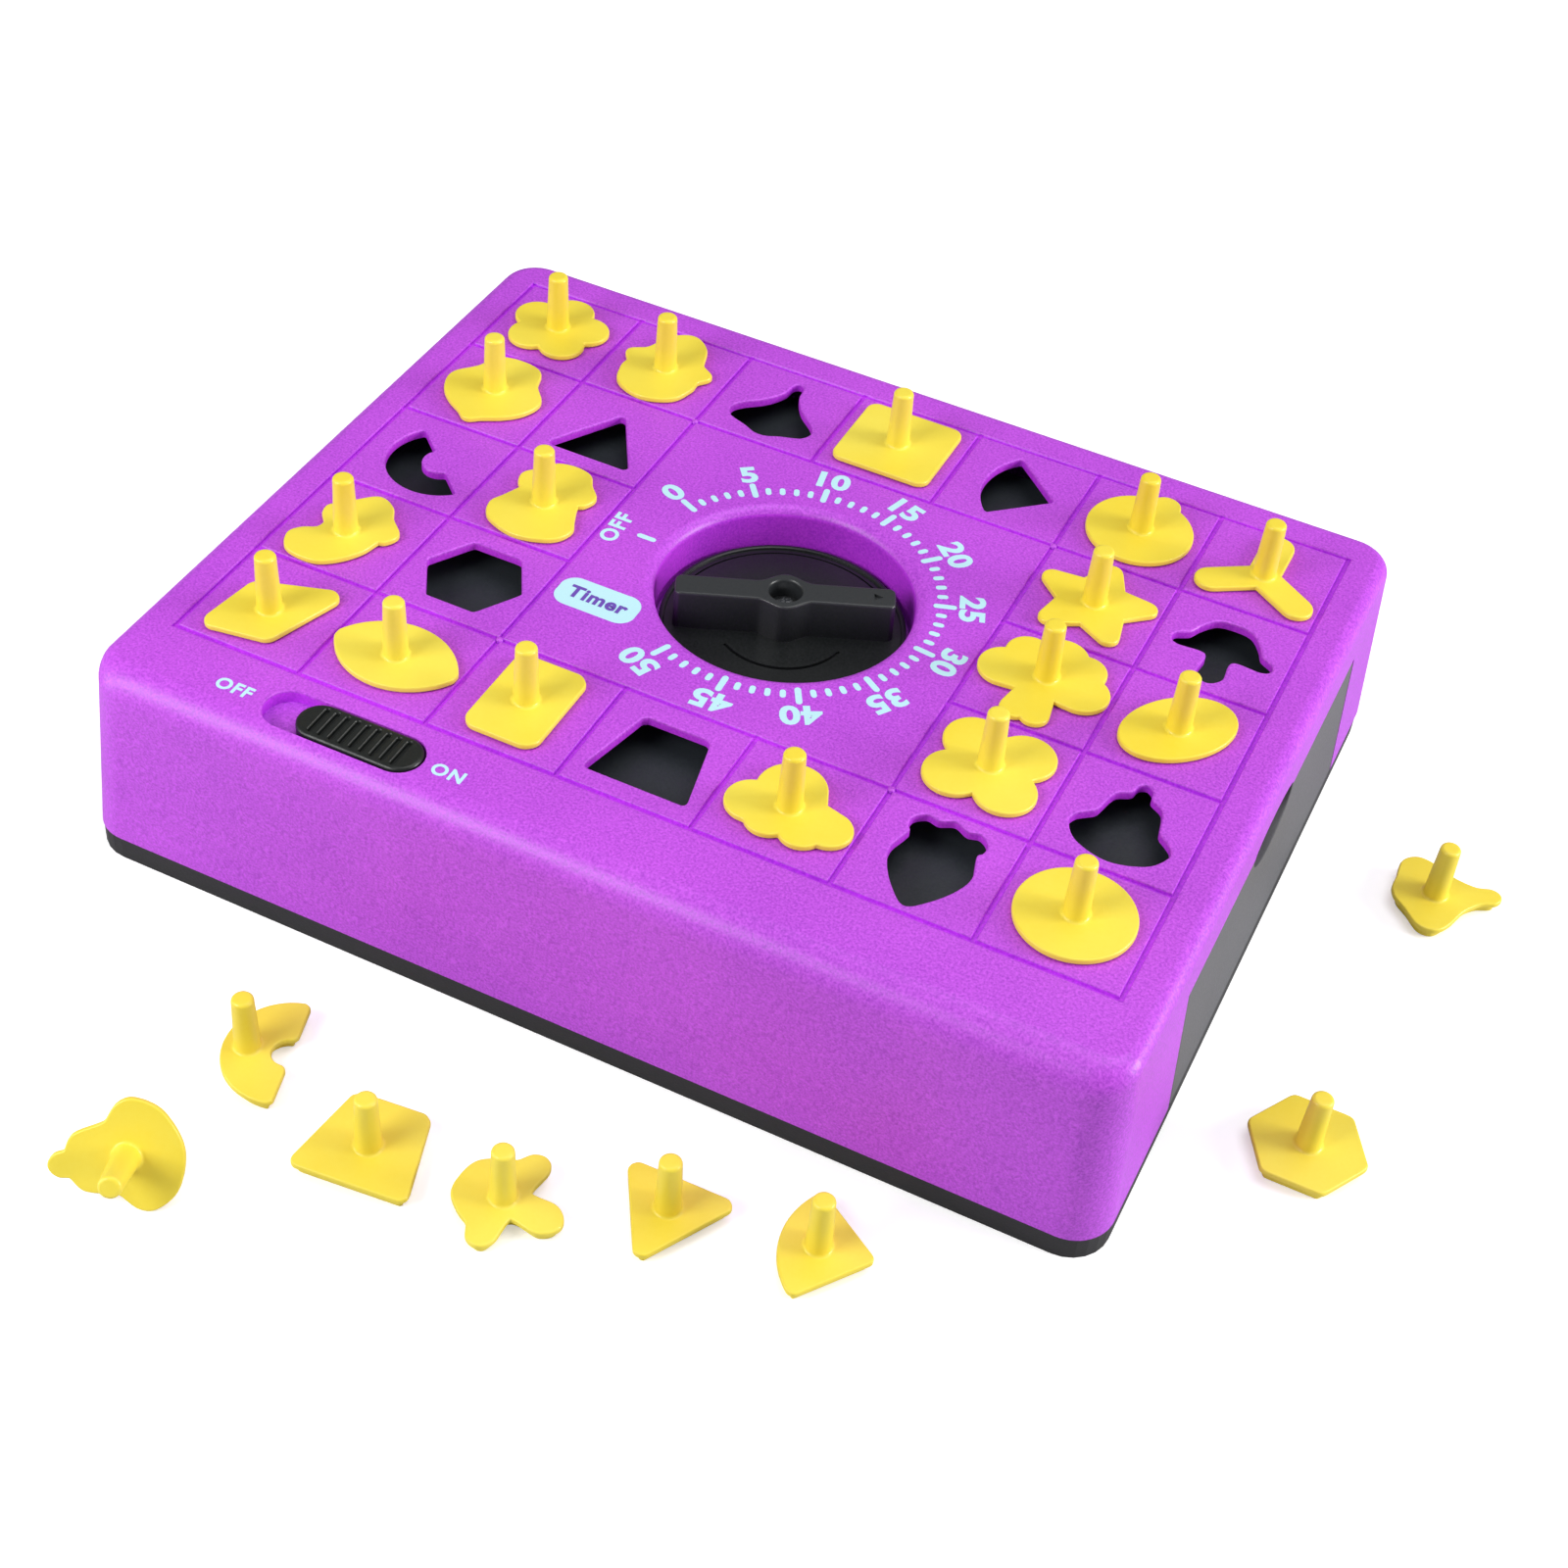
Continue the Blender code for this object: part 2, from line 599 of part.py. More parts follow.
def shape_shares(name):
    """Dense outline of a named shape, in shares of a cell."""
    if name in LOBES_SHARES:
        return lobed(*LOBES_SHARES[name])
    if name in POLYGON_SHARES:
        return densified(POLYGON_SHARES[name][1], DENSE_SHARE)
    if name == "gourd":
        return curved(mirrored(HALF_SHARES[name])) + np.array([GOURD_SHIFT_SHARE, 0])
    if name in HALF_SHARES:
        return curved(mirrored(HALF_SHARES[name]))
    if name == "eggplant":
        return curved(EGGPLANT_SHARES)[::-1]
    if name == "sector":
        s = SECTOR_SHARES
        apex = (s["apex_share"], 0)
        return densified([apex] + arc(apex, s["radius_share"], 180 - s["half_angle"],
                                      180 + s["half_angle"], 24), DENSE_SHARE)
    if name == "half_ring":
        s = RING_SHARES
        middle = (s["x_share"], s["y_share"])
        outer = arc(middle, s["radius_share"], s["chord_angle"] - 180, s["chord_angle"], 48)
        inner = arc(middle, s["notch_share"], s["chord_angle"], s["chord_angle"] - 180, 20)
        return densified(outer + inner, DENSE_SHARE)
    if name == "lens":
        s = LENS_SHARES
        w, h = s["half_width_share"], s["half_height_share"]
        radius = (w * w + h * h) / (2 * h)
        open_angle = math.degrees(math.asin(w / radius))
        low = arc((0, s["y_share"] + radius - h), radius, 270 - open_angle, 270 + open_angle, 30)
        high = arc((0, s["y_share"] - radius + h), radius, 90 - open_angle, 90 + open_angle, 30)
        return low[:-1] + high[:-1]
    s = EGG_SHARES
    turn = math.radians(s["turn_angle"])
    along = s["long_share"] * np.array([math.cos(turn), math.sin(turn)])
    across = s["short_share"] * np.array([-math.sin(turn), math.cos(turn)])
    return [tuple(along * math.cos(a) + across * math.sin(a)) for a in np.radians(np.arange(0, 360, 4))]


def shape_outline(name):
    """Dense outline of a named shape's hole, in metres from the cell's centre."""
    points = np.asarray(shape_shares(name), float) * CELL
    if signed_area(points) < 0:
        points = points[::-1]
    radius = OUTLINE_ROUNDING
    if name in POLYGON_SHARES:
        radius = POLYGON_SHARES[name][0] * CELL
    return rounded(points, radius)


def cell_centre(name):
    row, column = CELLS[name]
    return ((column - (COLUMNS - 1) / 2) * CELL, ((ROWS - 1) / 2 - row) * CELL)


def shifted(outline, by):
    return [(x + by[0], y + by[1]) for x, y in outline]


# Solids


def inside(point, loop):
    """Whether the point is within the loop."""
    x, y = point
    found = False
    for (x0, y0), (x1, y1) in zip(loop, list(loop[1:]) + list(loop[:1])):
        if (y0 > y) != (y1 > y) and x < x0 + (x1 - x0) * (y - y0) / (y1 - y0):
            found = not found
    return found


def fill(loops):
    """Triangles between an outer loop and any loops inside it."""
    flat = [Vector(point) for loop in loops for point in loop]
    edges = []
    start = 0
    for loop in loops:
        count = len(loop)
        edges += [(start + i, start + (i + 1) % count) for i in range(count)]
        start += count
    found = delaunay_2d_cdt(flat, edges, [], 1, FINE / 100)
    faces = []
    for face in found[2]:
        a, b, c = (found[3][i][0] for i in face)
        middle = (flat[a] + flat[b] + flat[c]) / 3
        if any(inside(middle, loop) for loop in loops[1:]) or not inside(middle, loops[0]):
            continue
        turn = (flat[b] - flat[a]).cross(flat[c] - flat[a])
        faces.append((a, b, c) if turn > 0 else (a, c, b))
    return faces


def build(levels, holes=()):
    """Closed surface of outlines at rising heights; holes go through from the first to the last."""
    verts = []
    faces = []

    def ring(outline, z):
        start = len(verts)
        verts.extend((x, y, z) for x, y in outline)
        return list(range(start, start + len(outline)))

    def cap(rings, up):
        flat = [i for one in rings for i in one]
        for a, b, c in fill([[verts[i][:2] for i in one] for one in rings]):
            faces.append((flat[a], flat[b], flat[c]) if up else (flat[a], flat[c], flat[b]))

    def side(low, high):
        count = len(low)
        for i in range(count):
            j = (i + 1) % count
            faces.append((low[i], low[j], high[j], high[i]))

    rings = [ring(outline, z) for outline, z in levels]
    low_holes = [ring(hole, levels[0][1]) for hole in holes]
    high_holes = [ring(hole, levels[-1][1]) for hole in holes]
    cap([rings[0]] + low_holes, False)
    cap([rings[-1]] + high_holes, True)
    for low, high in zip(low_holes, high_holes):
        side(high, low)
    for k in range(len(levels) - 1):
        low, high = rings[k], rings[k + 1]
        if levels[k][1] < levels[k + 1][1] or len(low) == len(high):
            side(low, high)
        elif signed_area(levels[k][0]) > signed_area(levels[k + 1][0]):
            cap([low, high], True)
        else:
            cap([high, low], False)
    return verts, faces


def joined(solids):
    """One mesh holding several solids that don't touch."""
    verts = []
    faces = []
    for more_verts, more_faces in solids:
        start = len(verts)
        verts += more_verts
        faces += [tuple(i + start for i in face) for face in more_faces]
    return verts, faces


def box(x0, x1, y0, y1, z0, z1):
    outline = rectangle(x0, x1, y0, y1)
    return build([(outline, z0), (outline, z1)])


def column(radius, z0, z1, centre=(0, 0), sides=SIDES):
    outline = circle(radius, sides, centre)
    return build([(outline, z0), (outline, z1)])


def along_x(outline, x0, x1, holes=()):
    """Prism of a (y, z) outline from x0 to x1."""
    verts, faces = build([(outline, x0), (outline, x1)], holes)
    return [(x, y, z) for y, z, x in verts], faces


# Housing


def foot_to_top(z):
    return (z - BAND_TOP) / (TOP - BAND_TOP)


def wall_x(z):
    return FOOT_HALF_WIDTH + (TOP_HALF_WIDTH - FOOT_HALF_WIDTH) * foot_to_top(z)


def wall_ring(z, inset, radius):
    """Rounded rectangle of the walls at a height, moved inwards, with each point's outward direction."""
    x = wall_x(z) - inset
    front = -(FOOT_FRONT + (TOP_FRONT - FOOT_FRONT) * foot_to_top(z)) + inset
    back = FOOT_BACK + (TOP_BACK - FOOT_BACK) * foot_to_top(z) - inset
    points = []
    corners = [(x - radius, back - radius, 0), (-x + radius, back - radius, 90),
               (-x + radius, front + radius, 180), (x - radius, front + radius, 270)]
    for cx, cy, start in corners:
        for k in range(SLICES + 1):
            angle = math.radians(start + 90 * k / SLICES)
            out = (math.cos(angle), math.sin(angle))
            points.append((cx + radius * out[0], cy + radius * out[1], out))
    return points


def shell(inset, z0, z1):
    """Drafted body with filleted top edge, larger along the front; verts and faces."""
    radius = CORNER_RADIUS - inset
    verts = [(x, y, z0) for x, y, _ in wall_ring(z0, inset, radius)]
    faces = []
    count = len(verts)
    for row in range(SLICES + 1):
        bend = math.radians(90 * row / SLICES)
        for index, (_, _, out) in enumerate(wall_ring(z0, inset, radius)):
            forward = max(0.0, -out[1])
            fillet = EDGE_FILLET + (FRONT_FILLET - EDGE_FILLET) * forward - inset / 2
            low = z1 - fillet
            x, y, _ = wall_ring(low, inset, radius)[index]
            pull = fillet * (1 - math.cos(bend))
            verts.append((x - pull * out[0], y - pull * out[1], low + fillet * math.sin(bend)))
    for row in range(SLICES + 1):
        for i in range(count):
            j = (i + 1) % count
            a = row * count
            faces.append((a + i, a + j, a + count + j, a + count + i))
    faces.append(tuple(range(count - 1, -1, -1)))
    last = (SLICES + 1) * count
    faces.append(tuple(range(last, last + count)))
    return verts, faces


def boss_centres():
    return [(x, y) for x in (BOSS_X, -BOSS_X) for y in (BOSS_BACK_Y, -BOSS_FRONT_Y)]


def panel_outline():
    """Opening of the drawer in (y, z), with the rounded rise over the finger notch."""
    rise = [(NOTCH_Y + NOTCH_HALF_WIDTH * math.cos(math.radians(a)),
             PANEL_TOP + NOTCH_BULGE * math.sin(math.radians(a))) for a in range(0, 181, 20)]
    foot = BAND_TOP - WALL
    return ([(PANEL_FRONT_Y, foot), (PANEL_BACK_Y, foot), (PANEL_BACK_Y, PANEL_TOP)] + rise
            + [(PANEL_FRONT_Y, PANEL_TOP)])


def top_housing():
    inner_top = TOP - TOP_WALL
    part = make_object("top_housing", *shell(0, BAND_TOP, TOP), look="purple_plastic")
    cavity = make_object("cavity", *shell(WALL, BAND_TOP - WALL, inner_top))
    pocket_z = TOP - SLOT_DEPTH - POCKET_FLOOR
    kept = [column(RECESS_RADIUS + CUP_WALL, TOP - RECESS_DEPTH - CUP_WALL, TOP, sides=40)]
    pocket = rectangle(SWITCH_X - SLOT_LENGTH / 2 - CUP_WALL, SWITCH_X + SLOT_LENGTH / 2 + CUP_WALL,
                       SWITCH_Y - SLOT_WIDTH / 2 - 3 * CUP_WALL, SWITCH_Y + SLOT_WIDTH / 2 + CUP_WALL / 2)
    kept.append(build([(pocket, pocket_z), (pocket, TOP)]))
    for centre in boss_centres():
        kept.append(column(BOSS_RADIUS, BAND_TOP, TOP, centre, sides=12))
    combine(cavity, make_object("kept", *joined(kept)), "DIFFERENCE")
    combine(part, cavity, "DIFFERENCE")
    over = TOP + WALL
    cuts = []
    recess_floor = TOP - RECESS_DEPTH
    rim = [(circle(SHAFT_RADIUS + 2 * GAP, 40), recess_floor - 2 * CUP_WALL),
           (circle(SHAFT_RADIUS + 2 * GAP, 40), recess_floor),
           (circle(RECESS_RADIUS, 40), recess_floor),
           (circle(RECESS_RADIUS, 40), TOP - RECESS_LIP_DEPTH)]
    for k in (1, 2, 3):
        bend = math.radians(30 * k)
        rim.append((circle(RECESS_RADIUS + (RECESS_LIP_RADIUS - RECESS_RADIUS) * (1 - math.cos(bend)), 40),
                    TOP - RECESS_LIP_DEPTH * (1 - math.sin(bend))))
    rim.append((circle(RECESS_LIP_RADIUS, 40), over))
    cuts.append(build(rim))
    centre = (SWITCH_X, SWITCH_Y)
    slot = stadium(SLOT_LENGTH, SLOT_WIDTH, centre)
    passage = rectangle(SWITCH_X - LINK_LENGTH / 2 - LINK_TRAVEL - GAP, SWITCH_X + LINK_LENGTH / 2 + GAP,
                        SWITCH_Y - LINK_WIDTH / 2 - GAP, SWITCH_Y + LINK_WIDTH / 2 + GAP)
    cuts.append(build([(passage, TOP - SLOT_DEPTH - 2 * POCKET_FLOOR), (passage, TOP - SLOT_DEPTH),
                       (slot, TOP - SLOT_DEPTH), (slot, over)]))
    for name in CELLS:
        outline = shifted(simplified(shape_outline(name), TOLERANCE), cell_centre(name))
        cuts.append(build([(outline, inner_top - TOP_WALL / 2), (outline, over)]))
    for centre in boss_centres():
        cuts.append(column(PILOT_RADIUS, BAND_TOP - WALL, PILOT_TOP, centre, sides=12))
    combine(part, make_object("cuts", *joined(cuts)), "DIFFERENCE")
    opening = along_x(panel_outline(), TOP_HALF_WIDTH - 4 * WALL, FOOT_HALF_WIDTH + WALL)
    combine(part, make_object("opening", *opening), "DIFFERENCE")
    screws = []
    for angle in TIMER_SCREWS:
        at = from_polar((0, 0), TIMER_SCREW_REACH, angle)
        shank = circle(TIMER_SCREW_RADIUS + GAP, 12, at)
        head = circle(TIMER_SCREW_HEAD + GAP, 12, at)
        screws.append(build([(shank, recess_floor - 2 * CUP_WALL),
                             (shank, recess_floor - TIMER_SCREW_HEAD_HEIGHT),
                             (head, recess_floor - TIMER_SCREW_HEAD_HEIGHT), (head, recess_floor + GAP)]))
    combine(part, make_object("screw_cuts", *joined(screws)), "DIFFERENCE")
    return part


# Base


def base_plate():
    radius = CORNER_RADIUS - BAND_INSET
    outer = [(x, y) for x, y, _ in wall_ring(BAND_TOP, BAND_INSET, radius)]
    inner = [(x, y) for x, y, _ in wall_ring(BAND_TOP, BAND_INSET + WALL, radius - WALL)]
    part = make_object("base_plate", *build([(outer, 0), (outer, BAND_TOP - GAP)]),
                       look="black_plastic")
    hollow = make_object("hollow", *build([(inner, FLOOR), (inner, BAND_TOP + WALL)]))
    solids = []
    for x in (PIN_X, -PIN_X):
        for y in (PIN_Y, -PIN_Y):
            solids.append(column(SEAT_RADIUS, 0, SEAT_TOP, (x, y), sides=16))
    for side in (1, -1):
        low, high = sorted((side * POST_INNER_X, side * POST_OUTER_X))
        solids.append(box(low, high, LATCH_Y - POST_HALF_DEPTH, LATCH_Y + POST_HALF_DEPTH, 0, POST_TOP))
    combine(hollow, make_object("seats", *joined(solids)), "DIFFERENCE")
    combine(part, hollow, "DIFFERENCE")
    tops = []
    for x in (PIN_X, -PIN_X):
        for y in (PIN_Y, -PIN_Y):
            outline = circle(SEAT_RADIUS, 16, (x, y))
            tops.append(build([(outline, FLOOR / 2), (outline, SEAT_TOP)]))
    for side in (1, -1):
        low, high = sorted((side * POST_INNER_X, side * POST_OUTER_X))
        tops.append(box(low, high, LATCH_Y - POST_HALF_DEPTH, LATCH_Y + POST_HALF_DEPTH,
                        FLOOR / 2, POST_TOP))
    combine(part, make_object("tops", *joined(tops)), "UNION")
    cuts = []
    for x in (PIN_X, -PIN_X):
        for y in (PIN_Y, -PIN_Y):
            cuts.append(column(PIN_RADIUS + GAP, SEAT_BORE_FLOOR, SEAT_TOP + WALL, (x, y), sides=12))
    for centre in boss_centres():
        head = circle(BASE_SCREW_HEAD + GAP, 12, centre)
        shank = circle(BASE_SCREW_RADIUS + GAP, 12, centre)
        cuts.append(build([(head, -WALL), (head, BASE_SCREW_HEAD_HEIGHT), (shank, BASE_SCREW_HEAD_HEIGHT),
                           (shank, FLOOR + WALL)]))
    combine(part, make_object("cuts", *joined(cuts)), "DIFFERENCE")
    hole = along_x(circle(LATCH_PIN_RADIUS + GAP, 12, (LATCH_Y, LATCH_Z)),
                   -POST_OUTER_X - WALL, POST_OUTER_X + WALL)
    combine(part, make_object("hole", *hole), "DIFFERENCE")
    return part


def base_screws():
    """Screws with their heads below, pointing up into the bosses."""
    top = PILOT_TOP - 2 * GAP
    head_top = BASE_SCREW_HEAD_HEIGHT - GAP
    for index, centre in enumerate(boss_centres(), 1):
        head = circle(BASE_SCREW_HEAD, 12, centre)
        shank = circle(BASE_SCREW_RADIUS, 12, centre)
        tip = circle(BASE_SCREW_RADIUS / 3, 12, centre)
        make_object(f"base_screw_{index}", *build([
            (head, GAP), (head, head_top), (shank, head_top), (shank, top - 2 * BASE_SCREW_RADIUS),
            (tip, top)]), look="steel")


# Ejector


def ejector_plate():
    outline = rectangle(-EJECTOR_HALF_WIDTH, EJECTOR_HALF_WIDTH, -EJECTOR_FRONT, EJECTOR_BACK,
                        EJECTOR_CORNER)
    holes = [circle(EJECTOR_HOLE_RADIUS, 40)]
    for x in (PIN_X, -PIN_X):
        for y in (PIN_Y, -PIN_Y):
            holes.append(circle(PIN_RADIUS + GAP, 12, (x, y)))
    foot = EJECTOR_TOP - EJECTOR_THICKNESS
    make_object("ejector_plate", *build([(outline, foot), (outline, EJECTOR_TOP)], holes),
                look="black_plastic", origin=(0, 0, EJECTOR_TOP))


def guide_pins_and_springs():
    index = 0
    for x in (PIN_X, -PIN_X):
        for y in (PIN_Y, -PIN_Y):
            index += 1
            make_object(f"guide_pin_{index}",
                        *column(PIN_RADIUS, SEAT_BORE_FLOOR + GAP, TOP - TOP_WALL - GAP, (x, y), 12),
                        look="steel")
            lift_spring(index, x, y)


def lift_spring(index, x, y):
    """Round wire wound in a helix between its seat and the ejector plate."""
    low = SEAT_TOP + GAP + WIRE_RADIUS
    high = EJECTOR_TOP - EJECTOR_THICKNESS - GAP - WIRE_RADIUS
    steps = COIL_TURNS * 12
    sides = 4
    verts = []
    faces = []
    for i in range(steps + 1):
        angle = 2 * math.pi * COIL_TURNS * i / steps
        out = Vector((math.cos(angle), math.sin(angle), 0))
        middle = Vector((x, y, low + (high - low) * i / steps)) + out * COIL_RADIUS
        for k in range(sides):
            bend = 2 * math.pi * (k + 0.5) / sides
            verts.append(middle + WIRE_RADIUS * (out * math.cos(bend) + Vector((0, 0, math.sin(bend)))))
    for i in range(steps):
        for k in range(sides):
            a, b = i * sides + k, i * sides + (k + 1) % sides
            faces.append((a, a + sides, b + sides, b))
    faces.append(tuple(range(sides)))
    last = steps * sides
    faces.append(tuple(range(last + sides - 1, last - 1, -1)))
    make_object(f"lift_spring_{index}", verts, faces, look="steel", origin=(x, y, SEAT_TOP))


def latch():
    """Hooked lever on a pin; its arm reaches to the cam under the dial."""
    y, z = LATCH_Y, LATCH_Z
    half = LATCH_BLADE / 2
    hook_end = -EJECTOR_FRONT - LATCH_SET_BACK
    hub = [from_polar((y, z), LATCH_HUB_RADIUS, a) for a in (-50, -20, 10, 40)]
    other = [from_polar((y, z), LATCH_HUB_RADIUS, a) for a in (140, 170, 200, 230)]
    outline = ([(y - half, LATCH_FOOT), (y + half, LATCH_FOOT)] + hub
               + [(y + half, LATCH_ARM_FOOT), (LATCH_REACH, LATCH_ARM_FOOT), (LATCH_REACH, LATCH_ARM_TOP),
                  (y + half, LATCH_ARM_TOP), (y + half, LATCH_HOOK_FOOT), (hook_end, LATCH_HOOK_FOOT),
                  (y + half, LATCH_HOOK_TOP + half), (y - half, LATCH_HOOK_TOP + half)] + other)
    bore = circle(LATCH_BORE, 12, (y, z))
    make_object("latch_lever", *along_x(outline, -LATCH_HALF_WIDTH, LATCH_HALF_WIDTH, [bore]),
                look="steel", origin=(0, y, z))
    make_object("latch_pin", *along_x(circle(LATCH_PIN_RADIUS, 12, (y, z)), -LATCH_PIN_HALF, LATCH_PIN_HALF),
                look="steel")


# Dial and clockwork


def grip_outline():
    """Strip with straight sides whose ends follow a circle about the dial's axis."""
    half = math.degrees(math.asin(GRIP_WIDTH / 2 / GRIP_REACH))
    return [from_polar((0, 0), GRIP_REACH, middle + half * k / 3)
            for middle in (0, 180) for k in range(-3, 4)]


def dial():
    top = TOP - KNOB_DEPTH
    foot = top - KNOB_THICKNESS
    outer = circle(KNOB_RADIUS, 40)
    groove = circle(KNOB_RADIUS - KNOB_RIM, 40)
    knob = make_object("dial_knob", *build([
        (outer, foot), (outer, top + KNOB_RIM_HEIGHT), (groove, top + KNOB_RIM_HEIGHT), (groove, top)]),
        look="black_plastic")
    turn = Matrix.Rotation(math.radians(POINTER), 4, "Z")
    low = top - KNOB_THICKNESS / 2
    grip = grip_outline()
    crown = simplified(grown(np.array(grip), -KNOB_RIM / 2), TOLERANCE)
    bar = build([(grip, low), (grip, TOP - KNOB_RIM / 2), (crown, TOP - KNOB_RIM / 2), (crown, TOP)])
    combine(knob, make_object("bar", *bar, matrix=turn), "UNION")
    combine(knob, make_object("hub", *column(HUB_RADIUS, low, TOP - KNOB_RIM / 2)), "UNION")
    well = build([(circle(SHAFT_RADIUS + GAP / 2, 20), foot - GAP),
                  (circle(SHAFT_RADIUS + GAP / 2, 20), TOP - SCREW_HOLE_DEPTH - GAP),
                  (circle(DIAL_SCREW_SHANK + GAP, 20), TOP - SCREW_HOLE_DEPTH - GAP),
                  (circle(DIAL_SCREW_SHANK + GAP, 20), TOP - SCREW_HOLE_DEPTH),
                  (circle(SCREW_HOLE_RADIUS, 20), TOP - SCREW_HOLE_DEPTH),
                  (circle(SCREW_HOLE_RADIUS, 20), TOP + WALL)])
    combine(knob, make_object("well", *well), "DIFFERENCE")
    head = circle(DIAL_SCREW_RADIUS, 16)
    shank = circle(DIAL_SCREW_SHANK, 16)
    seat = TOP - SCREW_HOLE_DEPTH + GAP
    dome = circle(DIAL_SCREW_RADIUS - KNOB_RIM_HEIGHT, 16)
    make_object("dial_screw", *build([(shank, seat - 4 * GAP), (shank, seat), (head, seat),
                                      (head, seat + DIAL_SCREW_HEIGHT / 2),
                                      (dome, seat + DIAL_SCREW_HEIGHT)]),
                look="steel")
    shaft = circle(SHAFT_RADIUS, 16)
    make_object("timer_shaft", *build([(shaft, SHAFT_FOOT), (shaft, seat - 6 * GAP)]), look="steel")


def gear_outline(module, teeth, phase, centre=(0, 0)):
    """Straight-flanked teeth, thinner than their gaps."""
    pitch = module * teeth / 2
    step = 2 * math.pi / teeth
    points = []
    for i in range(teeth):
        middle = math.radians(phase) + i * step
        for radius, share in ((pitch - 1.15 * module, -0.30), (pitch + 0.85 * module, -0.10),
                              (pitch + 0.85 * module, 0.10), (pitch - 1.15 * module, 0.30)):
            angle = middle + share * step
            points.append((centre[0] + radius * math.cos(angle), centre[1] + radius * math.sin(angle)))
    return points


def ratchet_outline(radius, depth, teeth, centre):
    points = []
    for i in range(teeth):
        start = 2 * math.pi * i / teeth
        for reach, share in ((radius - depth, 0.0), (radius, 0.55), (radius, 0.70)):
            angle = start + 2 * math.pi / teeth * share
            points.append((centre[0] + reach * math.cos(angle), centre[1] + reach * math.sin(angle)))
    return points


def from_polar(centre, distance, angle):
    return (centre[0] + distance * math.cos(math.radians(angle)),
            centre[1] + distance * math.sin(math.radians(angle)))


def mesh_phase(angle, teeth, other_phase, other_teeth):
    """Turn of a wheel that puts a gap where the other wheel's tooth stands, on the line at this angle."""
    place = (angle - other_phase) / (360 / other_teeth)
    tooth_offset = (place - round(place)) * 360 / other_teeth * other_teeth / teeth
    return angle + 180 + tooth_offset + 180 / teeth


